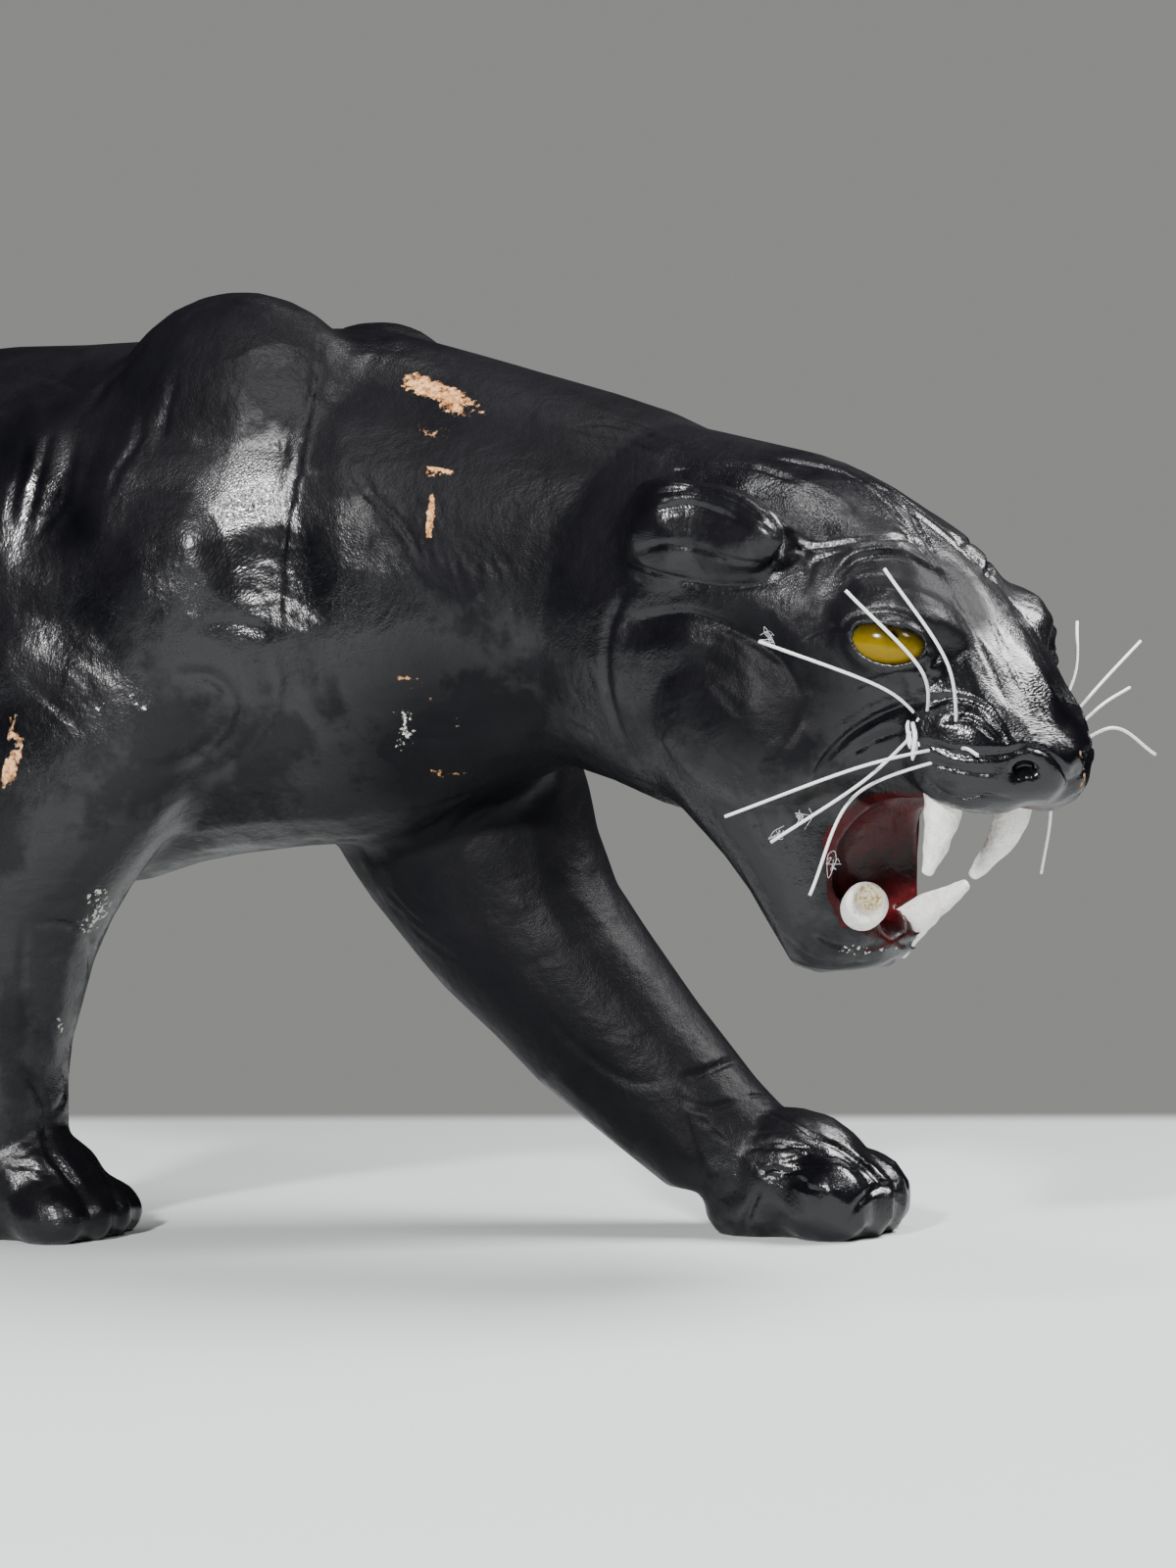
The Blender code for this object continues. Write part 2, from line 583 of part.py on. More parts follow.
def add_piece(name, mesh, material, parent=None):
    """A named object whose own origin is in the middle of its mesh."""
    mesh.name = name
    corners = points_of(mesh)
    centre = Vector((corners.min(axis=0) + corners.max(axis=0)) / 2) if parent else Vector()
    mesh.transform(Matrix.Translation(-centre))
    mesh.materials.clear()
    mesh.materials.append(finish(material))
    mesh.shade_smooth()
    obj = bpy.data.objects.new(name, mesh)
    bpy.context.scene.collection.objects.link(obj)
    obj.location = centre
    obj.parent = parent
    return obj


def build():
    for obj in list(bpy.data.objects):
        bpy.data.objects.remove(obj)
    hide = whole_hide()
    pieces = []
    sockets = []
    for name, side in (("eye_right", -1), ("eye_left", 1)):
        pieces.append((name, eye(side), "amber_glass"))
        sockets.append(eye(side, GAP))
    for name, sizes in FANGS.items():
        pieces.append((name, fang(*sizes), "ivory_teeth"))
        sockets.append(fang(*sizes, GAP))
    pieces.append(("fang_lower_right", stub(), "ivory_teeth"))
    sockets.append(stub(GAP))
    for row, name in ((WHISKERS_RIGHT, "whisker_right_"), (WHISKERS_LEFT, "whisker_left_")):
        for number, line in enumerate(row, start=1):
            pieces.append((name + str(number), whisker(*line), "white_bristle"))
            sockets.append(whisker(*line, GAP))
    for socket in sockets:
        hide = cut(hide, socket)
    corners = np.concatenate([points_of(hide)] + [points_of(mesh) for _, mesh, _ in pieces])
    low, high = corners.min(axis=0), corners.max(axis=0)
    middle = Vector(((low[0] + high[0]) / 2, (low[1] + high[1]) / 2, low[2]))
    hide.transform(Matrix.Translation(-middle))
    body = add_piece("panther_body", hide, "black_leather")
    for name, mesh, material in pieces:
        mesh.transform(Matrix.Translation(-middle))
        add_piece(name, mesh, material, body)
    return middle


build()
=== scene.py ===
"""A stalking panther, covered in black leather, with glass eyes, chalky fangs and bristles.

Metres, in the frame of the model: +X is the way the figure walks and +Z is up.
"""

import math

import bmesh
import bpy
import numpy as np
from mathutils import Matrix, Vector, noise
from mathutils.bvhtree import BVHTree


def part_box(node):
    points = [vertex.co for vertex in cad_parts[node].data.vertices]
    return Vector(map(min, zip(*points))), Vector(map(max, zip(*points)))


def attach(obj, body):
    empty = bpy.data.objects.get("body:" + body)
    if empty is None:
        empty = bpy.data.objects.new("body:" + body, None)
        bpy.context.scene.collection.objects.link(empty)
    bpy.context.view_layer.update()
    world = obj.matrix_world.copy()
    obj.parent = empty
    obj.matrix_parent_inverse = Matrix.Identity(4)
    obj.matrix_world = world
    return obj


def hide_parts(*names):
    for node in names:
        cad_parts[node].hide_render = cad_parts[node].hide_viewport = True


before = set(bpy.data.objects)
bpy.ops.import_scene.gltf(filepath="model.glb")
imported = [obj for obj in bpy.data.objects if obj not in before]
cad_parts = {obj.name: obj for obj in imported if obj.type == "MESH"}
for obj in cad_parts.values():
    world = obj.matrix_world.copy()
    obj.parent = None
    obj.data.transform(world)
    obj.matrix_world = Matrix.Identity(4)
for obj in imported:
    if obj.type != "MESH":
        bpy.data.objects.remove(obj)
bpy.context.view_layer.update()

# Camera
# A long lens at the height of the shoulder looks at the figure's right side and face from
# 28 degrees ahead of square. It is tilted down and rolled a little.
FRAME_WIDTH = 1200
FRAME_HEIGHT = 1600
FOCAL_LENGTH = 3559
CAMERA_AT = Vector((1.2555, -1.5373, 0.2350))
CAMERA_AHEAD, CAMERA_DOWN, CAMERA_ROLL = 28.0, 0.13, -1.75
CAMERA_TURN = (
    Matrix.Rotation(math.radians(CAMERA_AHEAD), 3, "Z")
    @ Matrix.Rotation(math.radians(90.0 - CAMERA_DOWN), 3, "X")
    @ Matrix.Rotation(math.radians(CAMERA_ROLL), 3, "Z")
)

lens = bpy.data.cameras.new("camera")
lens.sensor_width = 36.0
lens.lens = FOCAL_LENGTH / FRAME_HEIGHT * lens.sensor_width
lens.clip_start, lens.clip_end = 0.05, 60.0
camera = bpy.data.objects.new("camera", lens)
bpy.context.scene.collection.objects.link(camera)
camera.matrix_world = Matrix.Translation(CAMERA_AT) @ CAMERA_TURN.to_4x4()
bpy.context.scene.camera = camera


def sight(across, down):
    """The line of sight through a point of the frame."""
    lateral, rise = across - FRAME_WIDTH / 2, FRAME_HEIGHT / 2 - down
    return (CAMERA_TURN @ Vector((lateral, rise, -FOCAL_LENGTH))).normalized()


# Hide: form
# One skin of thin black goat leather, glued wet over a carved figure. It is worked here from
# the model's own body: smoothed, its sockets filled, and the creases pressed in as they lie.
NAPE = Vector((0.4582, 0.0167, 0.0))
HEAD = Matrix.Translation(NAPE) @ Matrix.Rotation(math.radians(-16.0), 4, "Z")
SKULL_HEART = HEAD @ Vector((0.200, 0.0, 0.250))
JAW_HEART = HEAD @ Vector((0.120, 0.0, 0.130))
BODY_GRAIN = 0.0026
MOST_TRIANGLES = 196000
FANG_PLUG, BRISTLE_PLUG, PLUG_SINK = 0.0100, 0.0038, 0.03
EYE_PLUG_SINK, EYE_PLUG_SCALE = 0.0045, 1.16


def stage_of(mesh, kind, **values):
    """The mesh after one modifier."""
    obj = bpy.data.objects.new("working_hide", mesh)
    bpy.context.scene.collection.objects.link(obj)
    modifier = obj.modifiers.new("step", kind)
    for key, value in values.items():
        setattr(modifier, key, value)
    graph = bpy.context.evaluated_depsgraph_get()
    made = bpy.data.meshes.new_from_object(obj.evaluated_get(graph), depsgraph=graph)
    bpy.data.objects.remove(obj)
    bpy.data.meshes.remove(mesh)
    return made


def points_of(mesh):
    flat = np.zeros(len(mesh.vertices) * 3, np.float32)
    mesh.vertices.foreach_get("co", flat)
    return flat.reshape(-1, 3).astype(float)


def normals_of(mesh):
    flat = np.zeros(len(mesh.vertices) * 3, np.float32)
    mesh.vertex_normals.foreach_get("vector", flat)
    return flat.reshape(-1, 3).astype(float)


def set_points(mesh, points):
    mesh.vertices.foreach_set("co", points.astype(np.float32).ravel())
    mesh.update()


def in_head(points):
    """Points in the head's own frame: forward of the nape, to the left, and up."""
    inverse = np.array(HEAD.inverted())
    return points @ inverse[:3, :3].T + inverse[:3, 3]


def relax(mesh, passes, hold=1.0):
    """Evens out the skin and keeps its volume, with hold from 0 to 1 as its strength."""
    edges = np.zeros(len(mesh.edges) * 2, np.int32)
    mesh.edges.foreach_get("vertices", edges)
    first, second = edges.reshape(-1, 2).T
    ends, starts = np.concatenate((first, second)), np.concatenate((second, first))
    points = points_of(mesh)
    shared = np.bincount(ends, minlength=len(points))
    for step in [0.60, -0.62] * passes:
        around = [np.bincount(ends, points[starts, axis], len(points)) / shared for axis in range(3)]
        points += step * hold * (np.stack(around, axis=1) - points)
    set_points(mesh, points)


def socket_plug(bm, name):
    """Fills the hole that a tooth or a bristle stands in, up to a little under the skin."""
    heart = JAW_HEART if "lower" in name else SKULL_HEART
    points = points_of(bpy.data.objects[name].data)
    reach = np.linalg.norm(points - np.array(heart), axis=1)
    end = points[reach < reach.min() + 0.004].mean(axis=0)
    size = BRISTLE_PLUG if "whisker" in name else FANG_PLUG
    matrix = Matrix.Translation(Vector(end).lerp(heart, PLUG_SINK))
    bmesh.ops.create_icosphere(bm, subdivisions=3, radius=size, matrix=matrix)


def bare_hide():
    """The model's body with its sockets filled, as an even smooth skin."""
    bm = bmesh.new()
    bm.from_mesh(bpy.data.objects["panther_body"].data)
    bmesh.ops.remove_doubles(bm, verts=bm.verts, dist=1e-5)
    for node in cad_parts:
        if "fang" in node or "whisker" in node:
            socket_plug(bm, node)
    for name in ("eye_right", "eye_left"):
        low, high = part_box(name)
        middle = (low + high) / 2
        inwards = (SKULL_HEART - middle).normalized() * EYE_PLUG_SINK
        fresh = bmesh.new()
        fresh.from_mesh(bpy.data.objects[name].data)
        bmesh.ops.remove_doubles(fresh, verts=fresh.verts, dist=1e-6)
        larger = Matrix.Scale(EYE_PLUG_SCALE, 4) @ Matrix.Translation(-middle)
        fresh.transform(Matrix.Translation(middle + inwards) @ larger)
        plug = bpy.data.meshes.new("plug")
        fresh.to_mesh(plug)
        fresh.free()
        bm.from_mesh(plug)
        bpy.data.meshes.remove(plug)
    mesh = bpy.data.meshes.new("hide")
    bm.to_mesh(mesh)
    bm.free()
    mesh = stage_of(mesh, "REMESH", mode="VOXEL", voxel_size=BODY_GRAIN)
    return mesh


def refined(mesh, chosen):
    """The mesh with each edge between chosen points cut in two."""
    bm = bmesh.new()
    bm.from_mesh(mesh)
    bm.verts.ensure_lookup_table()
    picked = set(np.flatnonzero(chosen).tolist())
    edges = [edge for edge in bm.edges if edge.verts[0].index in picked and edge.verts[1].index in picked]
    bmesh.ops.subdivide_edges(bm, edges=edges, cuts=1, use_grid_fill=True)
    bm.to_mesh(mesh)
    bm.free()
    return mesh


def eased(line, step):
    """Points along a Catmull-Rom curve through the corners of a line, about step apart."""
    rows = [np.array(corner, float) for corner in line]
    rows = [2 * rows[0] - rows[1], *rows, 2 * rows[-1] - rows[-2]]
    found = []
    for before, start, end, after in zip(rows, rows[1:], rows[2:], rows[3:]):
        count = max(1, round(float(np.linalg.norm(end - start)) / step))
        for t in (index / count for index in range(count)):
            bend = (end - before) * t + (2 * before - 5 * start + 4 * end - after) * t**2
            found.append(start + 0.5 * (bend + (3 * start - before - 3 * end + after) * t**3))
    found.append(rows[-2])
    return found


class Skin:
    """The hide while creases are pressed into it. Lines lie on the skin as it was at the start."""

    def __init__(self, mesh):
        self.mesh = mesh
        self.points, self.normals = points_of(mesh), normals_of(mesh)
        self.height = np.zeros(len(self.points))
        obj = bpy.data.objects.new("working_hide", mesh)
        bpy.context.scene.collection.objects.link(obj)
        self.tree = BVHTree.FromObject(obj, bpy.context.evaluated_depsgraph_get())
        bpy.data.objects.remove(obj)

    def seen(self, line, step=5.0):
        """The skin under a line drawn over the camera's view."""
        found = []
        for corner in eased(line, step):
            ray = sight(*corner)
            where, normal, _, _ = self.tree.ray_cast(CAMERA_AT, ray)
            if where is not None and normal.dot(ray) < -0.22:
                found.append((where, normal))
        return found

    def from_side(self, line, side, step=0.004):
        """The skin beside a line of x and z, seen square on from the right (-1) or the left (1)."""
        hits = []
        for x, z in eased(line, step):
            hits.append(self.tree.ray_cast(Vector((x, side * 1.0, z)), Vector((0, -side, 0))))
        return [(hit[0], hit[1]) for hit in hits if hit[0] is not None]

    def across(self, laid, place):
        """The same line on the other side of the plane in the middle of the given frame."""
        flip = place @ Matrix.Diagonal((1, -1, 1, 1)) @ place.inverted()
        hits = [self.tree.find_nearest(flip @ point) for point, _ in laid]
        return [(hit[0], hit[1]) for hit in hits if hit[0] is not None]

    def press(self, laid, width, depth, lift=0.5, lean=0.0):
        """A crease as deep and half as wide as given, between two swells, the left one leant on."""
        if len(laid) < 3:
            return
        line = np.array([point for point, _ in laid])
        facing = np.array([normal for _, normal in laid])
        reach = width * 2.4
        low, high = line.min(axis=0) - reach, line.max(axis=0) + reach
        near = np.flatnonzero(((self.points > low) & (self.points < high)).all(axis=1))
        points = self.points[near]
        nearest = np.full(len(near), 1e9)
        beside, along = np.zeros(len(near)), np.zeros(len(near))
        towards = np.zeros((len(near), 3))
        last = len(line) - 1
        for index, (start, end) in enumerate(zip(line, line[1:])):
            run = end - start
            share = np.clip((points - start) @ run / max(run @ run, 1e-14), 0, 1)
            offset = points - start - share[:, None] * run
            away = np.linalg.norm(offset, axis=1)
            closer = away < nearest
            nearest[closer] = away[closer]
            side = np.cross(facing[index], run)
            beside[closer] = (offset @ side / max(np.linalg.norm(side), 1e-12))[closer]
            along[closer] = ((index + share) / last)[closer]
            towards[closer] = facing[index]
        t = nearest / width
        swells = lift * np.exp(-(t**2)) * (1 + lean * np.tanh(2 * beside / width))
        shape = swells - (1 + lift) * np.exp(-4 * t**2)
        fade = np.clip(4.5 * np.minimum(along, 1 - along) + 0.08, 0, 1)
        faces_it = np.clip(2.5 * np.einsum("ij,ij->i", self.normals[near], towards) - 0.5, 0, 1)
        self.height[near] += depth * shape * fade**0.7 * faces_it * (t < 2.4)

    def settle(self):
        set_points(self.mesh, self.points + self.normals * self.height[:, None])


def nearby(points, middle, reach):
    """How close each point is to a place, from 1 at the place to 0 at reach and beyond."""
    return np.clip(1 - np.linalg.norm(points - np.array(middle), axis=1) / reach, 0, 1)


def headward_of(mesh):
    """0 behind the nape, 1 well into the head, and even between."""
    return np.clip((in_head(points_of(mesh))[:, 0] + NAPE_BLEND / 3) / NAPE_BLEND, 0, 1)


NAPE_BLEND = 0.06
BODY_PASSES, HEAD_PASSES, HEAD_SPARED = 12, 2, 0.55
hide_mesh = bare_hide()
headward = headward_of(hide_mesh)
relax(hide_mesh, BODY_PASSES, (1 - HEAD_SPARED * headward)[:, None])
hide_mesh = refined(hide_mesh, headward > 0.4)
relax(hide_mesh, HEAD_PASSES, headward_of(hide_mesh)[:, None])
EYE_FORWARD, EYE_OUT, EYE_UP = 0.2095, 0.0580, 0.2915
EYE_PATCH = 0.030
for side in (-1, 1):
    eye_middle = HEAD @ Vector((EYE_FORWARD, side * EYE_OUT, EYE_UP))
    hide_mesh = refined(hide_mesh, nearby(points_of(hide_mesh), eye_middle, EYE_PATCH) > 0)

# Creases over the camera's view: width and depth in millimetres, swell, lean, then the line
HEAD_CREASES = {
    "brow_arch": (
        4.0, 1.5, 0.6, 0.5,
        ((850, 600), (862, 580), (880, 568), (918, 565), (950, 580), (975, 590)),
    ),
    "brow_upper": (4.0, 0.9, 0.6, 0.2, ((800, 560), (835, 560), (880, 552), (920, 549), (950, 560))),
    "brow_third": (3.5, 0.6, 0.6, 0.0, ((820, 585), (835, 572), (850, 566), (872, 560))),
    "eye_tail": (3.0, 0.9, 0.6, 0.0, ((866, 642), (850, 640), (832, 645), (815, 655))),
    "crown_1": (4.0, 0.6, 0.6, 0.0, ((690, 480), (740, 475), (780, 480), (820, 495))),
    "crown_2": (4.0, 0.9, 0.7, 0.3, ((790, 468), (860, 482), (900, 510), (930, 545))),
    "crown_3": (3.5, 0.9, 0.7, 0.0, ((830, 462), (880, 485), (920, 515), (955, 540), (1000, 580))),
    "crown_4": (3.5, 0.8, 0.7, 0.0, ((900, 490), (950, 525), (985, 560), (1020, 600))),
    "temple": (5.0, 0.8, 0.6, 0.0, ((800, 545), (818, 560), (826, 580), (822, 600))),
    "jowl": (5.0, 1.3, 0.5, 0.6, ((650, 632), (700, 625), (745, 640), (795, 672), (822, 720))),
    "cheek_fold": (5.0, 0.7, 0.5, 0.0, ((830, 700), (815, 740), (790, 775), (770, 800))),
    "snarl": (4.5, 2.2, 0.7, 0.6, ((826, 806), (838, 780), (862, 752), (890, 733), (920, 720), (945, 716))),
    "snarl_2": (3.5, 1.0, 0.6, 0.0, ((850, 800), (862, 776), (890, 756), (925, 744))),
    "snarl_upper": (3.5, 0.8, 0.6, 0.0, ((862, 706), (890, 694), (930, 686), (958, 690))),
    "pad_top": (3.5, 1.2, 0.6, 0.3, ((945, 716), (975, 712), (1003, 722), (1022, 745), (1030, 760))),
    "pad_middle": (3.0, 0.9, 0.7, 0.0, ((960, 738), (985, 734), (1005, 745), (1020, 758))),
    "pad_front": (3.5, 1.8, 0.7, 0.3, ((945, 758), (975, 768), (1005, 770), (1030, 768), (1048, 760))),
    "pad_low": (3.0, 0.8, 0.7, 0.0, ((950, 778), (985, 786), (1015, 790))),
    "nose_wing": (3.0, 1.0, 0.6, 0.0, ((1045, 762), (1065, 766), (1082, 780), (1092, 800))),
    "lip": (3.0, 1.1, 0.7, 0.0, ((945, 793), (958, 806), (975, 813), (1000, 811), (1030, 815))),
    "bridge": (3.0, 0.5, 0.6, 0.0, ((965, 600), (990, 640), (1010, 680), (1030, 725))),
    "chin_edge": (3.5, 1.0, 0.6, 0.0, ((828, 950), (850, 962), (880, 968), (905, 962))),
    "chin_low": (3.5, 0.8, 0.6, 0.0, ((800, 955), (822, 975), (850, 985), (885, 982))),
    "ear_rim": (3.5, 1.2, 0.6, -0.4, ((660, 505), (700, 500), (740, 510), (775, 530), (795, 548))),
    "ear_inner": (3.0, 0.9, 0.6, 0.0, ((668, 522), (700, 515), (735, 525), (765, 540))),
    "ear_lobe": (3.5, 0.8, 0.6, 0.0, ((650, 562), (680, 555), (715, 560), (750, 572), (785, 575))),
    "ear_under": (4.0, 1.2, 0.5, 0.4, ((628, 556), (645, 575), (690, 590), (740, 598), (790, 594))),
}
NECK_CREASES = {
    "seam": (
        2.6, 1.3, 0.9, 0.7,
        ((355, 327), (330, 350), (316, 420), (310, 465), (298, 515), (287, 600), (286, 640)),
    ),
    "seam_tuck": (3.0, 0.8, 0.6, 0.0, ((300, 425), (292, 445), (291, 465), (293, 475))),
    "blade_rear": (8.0, 2.0, 0.5, 0.4, ((150, 350), (130, 370), (110, 390), (96, 412))),
    "blade_1": (6.0, 1.3, 0.6, 0.0, ((145, 420), (140, 450), (120, 480), (112, 505))),
    "blade_2": (6.0, 1.0, 0.6, 0.0, ((180, 380), (170, 420), (165, 450))),
    "blade_top": (4.0, 0.9, 0.6, 0.0, ((185, 335), (200, 318), (235, 310), (275, 316))),
    "point_inner": (
        8.0, 1.8, 0.5, 0.4,
        ((175, 690), (215, 690), (237, 715), (228, 745), (200, 770), (160, 785)),
    ),
    "point_outer": (
        7.0, 1.3, 0.5, 0.4,
        ((275, 660), (284, 690), (280, 720), (265, 748), (240, 775), (205, 795)),
    ),
    "point_top": (5.0, 1.2, 0.5, 0.4, ((200, 640), (230, 634), (262, 640), (280, 652))),
    "cheek_edge": (8.0, 1.6, 0.5, 0.5, ((640, 600), (622, 640), (618, 690), (630, 740), (650, 775))),
}
LEG_CREASES = {
    "wrist_1": (4.5, 1.5, 0.7, 0.3, ((695, 1100), (715, 1095), (740, 1085), (755, 1080))),
    "wrist_2": (4.5, 1.2, 0.7, 0.0, ((690, 1110), (700, 1125), (725, 1130), (750, 1125))),
    "wrist_3": (4.5, 1.0, 0.7, 0.0, ((680, 1105), (650, 1105), (625, 1095), (580, 1060), (560, 1035))),
    "shin": (4.5, 1.1, 0.6, 0.0, ((695, 1120), (700, 1150), (715, 1190), (730, 1210))),
    "paw_ridge": (4.5, 1.3, 0.6, 0.0, ((800, 1150), (850, 1168), (880, 1188), (900, 1208), (920, 1225))),
    "paw_front": (4.0, 1.0, 0.6, 0.0, ((860, 1250), (872, 1232), (890, 1215), (912, 1208))),
    "heel": (4.5, 1.5, 0.6, 0.0, ((775, 1212), (765, 1235), (757, 1258))),
    "near_shin_1": (4.5, 1.2, 0.6, 0.0, ((25, 945), (22, 1000), (27, 1050))),
    "near_shin_2": (4.5, 1.0, 0.6, 0.0, ((45, 942), (70, 943), (90, 955), (93, 970), (88, 1010))),
    "near_wrist_1": (4.0, 1.5, 0.7, 0.0, ((20, 1090), (35, 1105), (45, 1130), (42, 1140))),
    "near_wrist_2": (4.0, 1.3, 0.7, 0.0, ((65, 1085), (68, 1110), (60, 1130), (45, 1140))),
    "near_paw_1": (4.5, 1.6, 0.7, 0.0, ((45, 1145), (50, 1175), (65, 1195), (80, 1215), (90, 1235))),
    "near_paw_2": (4.0, 1.1, 0.6, 0.0, ((100, 1195), (115, 1215), (120, 1235))),
}
# Families of wrinkles over the camera's view: count, width, depth, the first line and the last
WRINKLES = {
    "shoulder_front": (
        8, 3.2, 0.55,
        ((236, 538), (275, 550), (310, 562), (338, 580)), ((228, 606), (280, 622), (320, 650), (350, 678)),
    ),
    "neck_fan": (
        10, 2.4, 1.3,
        ((340, 455), (362, 490), (392, 530), (430, 585)), ((520, 560), (532, 595), (540, 640), (538, 672)),
    ),
    "neck_low": (
        6, 3.5, 0.4,
        ((310, 690), (380, 700), (460, 712), (540, 718)), ((300, 790), (380, 800), (460, 800), (530, 786)),
    ),
    "armpit": (
        5, 4.5, 1.1,
        ((520, 800), (480, 812), (440, 826), (402, 828)), ((534, 815), (500, 850), (466, 882), (448, 912)),
    ),
    "elbow": (
        5, 4.0, 0.7,
        ((360, 872), (390, 905), (425, 930), (470, 950)), ((402, 925), (440, 965), (480, 995), (520, 1005)),
    ),
    "flank": (
        5, 6.0, 1.0,
        ((96, 420), (90, 470), (70, 520), (40, 560)), ((20, 420), (18, 470), (8, 520), (2, 560)),
    ),
    "back_saddle": (
        3, 5.0, 0.9,
        ((10, 376), (50, 380), (90, 384), (122, 378)), ((4, 392), (40, 398), (80, 400), (105, 396)),
    ),
    "upper_arm": (
        5, 5.0, 0.7,
        ((40, 640), (90, 660), (130, 690), (150, 730)), ((10, 700), (40, 730), (70, 770), (84, 810)),
    ),
    "near_leg": (
        5, 4.0, 0.6,
        ((12, 880), (40, 890), (80, 886), (112, 872)), ((6, 1020), (30, 1032), (58, 1030), (80, 1018)),
    ),
    "far_leg": (
        5, 4.0, 0.3,
        ((470, 905), (520, 900), (570, 895), (610, 880)),
        ((600, 1060), (640, 1040), (680, 1020), (715, 1010)),
    ),
    "far_paw": (
        8, 2.6, 1.0,
        ((745, 1120), (775, 1118), (800, 1122), (826, 1138)),
        ((770, 1205), (800, 1196), (840, 1196), (870, 1206)),
    ),
    "near_paw": (
        8, 2.4, 0.9,
        ((4, 1168), (25, 1166), (44, 1162), (60, 1168)), ((4, 1225), (30, 1222), (55, 1222), (84, 1228)),
    ),
    "jaw": (
        6, 4.0, 0.5,
        ((700, 720), (725, 760), (760, 800), (785, 850)), ((790, 800), (795, 840), (802, 880), (812, 920)),
    ),
    "cheek": (
        5, 4.0, 0.45,
        ((690, 650), (735, 660), (775, 690), (800, 730)), ((670, 740), (700, 742), (730, 760), (752, 790)),
    ),
    "throat": (
        5, 4.0, 0.5,
        ((560, 700), (580, 730), (600, 752), (628, 768)), ((600, 640), (612, 680), (625, 720), (648, 752)),
    ),
    "bridge": (
        4, 2.4, 0.35,
        ((940, 600), (962, 640), (985, 680), (1008, 716)),
        ((1000, 600), (1020, 640), (1045, 690), (1070, 740)),
    ),
    "nape": (
        4, 4.0, 0.5,
        ((560, 440), (600, 448), (640, 462), (676, 478)), ((600, 420), (660, 436), (720, 452), (780, 466)),
    ),
}
# The same, seen square from a side, as x and z: for the hindquarters and the far side
SIDE_WRINKLES = {
    "haunch": (
        7, 7.0, 1.0,
        ((-0.40, 0.44), (-0.36, 0.40), (-0.335, 0.35), (-0.34, 0.30)),
        ((-0.27, 0.43), (-0.235, 0.38), (-0.225, 0.32), (-0.25, 0.27)),
    ),
    "flank_fold": (
        4, 8.0, 1.3,
        ((-0.22, 0.40), (-0.20, 0.34), (-0.21, 0.28), (-0.25, 0.24)),
        ((-0.12, 0.38), (-0.13, 0.33), (-0.16, 0.28), (-0.20, 0.25)),
    ),
    "ribs": (
        6, 7.0, 0.7,
        ((-0.10, 0.42), (-0.085, 0.36), (-0.09, 0.30), (-0.11, 0.25)),
        ((0.04, 0.40), (0.05, 0.35), (0.04, 0.30), (0.02, 0.25)),
    ),
    "right_hock": (
        5, 4.5, 0.8,
        ((-0.37, 0.20), (-0.34, 0.19), (-0.30, 0.19), (-0.26, 0.20)),
        ((-0.36, 0.12), (-0.34, 0.11), (-0.31, 0.11), (-0.29, 0.12)),
    ),
    "left_hock": (
        5, 4.5, 0.8,
        ((-0.52, 0.20), (-0.49, 0.19), (-0.45, 0.19), (-0.40, 0.21)),
        ((-0.54, 0.12), (-0.52, 0.11), (-0.49, 0.11), (-0.475, 0.12)),
    ),
    "right_hind_paw": (
        4, 3.5, 0.7,
        ((-0.30, 0.050), (-0.28, 0.056), (-0.26, 0.054), (-0.24, 0.046)),
        ((-0.30, 0.022), (-0.27, 0.030), (-0.24, 0.028), (-0.215, 0.018)),
    ),
    "left_hind_paw": (
        4, 3.5, 0.7,
        ((-0.50, 0.050), (-0.48, 0.056), (-0.46, 0.054), (-0.44, 0.046)),
        ((-0.50, 0.022), (-0.47, 0.030), (-0.44, 0.028), (-0.415, 0.018)),
    ),
    "tail_root": (
        5, 4.0, 0.7,
        ((-0.42, 0.43), (-0.425, 0.41), (-0.43, 0.39), (-0.43, 0.37)),
        ((-0.49, 0.37), (-0.485, 0.36), (-0.475, 0.34), (-0.47, 0.32)),
    ),
}

chance = np.random.default_rng(7)
FAMILY_STEPS = 6
MORE_WRINKLES, WRINKLE_WAVER, SIDE_WAVER, WRINKLE_SWELL = 1.4, 8.0, 0.004, 0.7


def family(count, first, last, waver):
    """Lines between a first and a last one, unevenly spaced, shortened and wavering."""
    first, last = np.array(first, float), np.array(last, float)
    for index in range(count):
        share = (index + chance.uniform(-0.25, 0.25)) / max(count - 1, 1)
        line = first + (last - first) * share + chance.uniform(-waver, waver, first.shape)
        low, high = chance.uniform(0.0, 0.22), chance.uniform(0.78, 1.0)
        rows = eased(line, np.linalg.norm(line[1] - line[0]) / FAMILY_STEPS)
        yield rows[round(low * (len(rows) - 1)):round(high * (len(rows) - 1)) + 1:3]


skin = Skin(hide_mesh)
FIGURE = Matrix.Translation((0.0, NAPE.y, 0.0))
# Swells, in the same terms: how far each reaches, how high it stands, then the line
SWELLS = {
    "shoulder": (70, 3.2, ((264, 490), (264, 508), (264, 525))),
    "whisker_pad": (22, 3.2, ((975, 738), (992, 742), (1012, 750))),
    "ear_end": (17, 2.0, ((648, 560), (648, 545), (652, 530))),
    "forehead": (34, 1.6, ((805, 530), (818, 530), (830, 534))),
    "snarl_fold": (12, 1.2, ((850, 765), (880, 748), (915, 738))),
    "far_paw": (20, 1.4, ((830, 1190), (842, 1200), (852, 1212))),
}
for reach, height, line in SWELLS.values():
    laid = skin.seen(line)
    frame_of = HEAD if line[0][0] > 600 and line[0][1] < 1000 else FIGURE
    for row in (laid, skin.across(laid, frame_of)):
        middle = np.array(row[len(row) // 2][0])
        near = nearby(skin.points, middle, reach / 1000)
        skin.height += height / 1000 * near**2 * (3 - 2 * near)
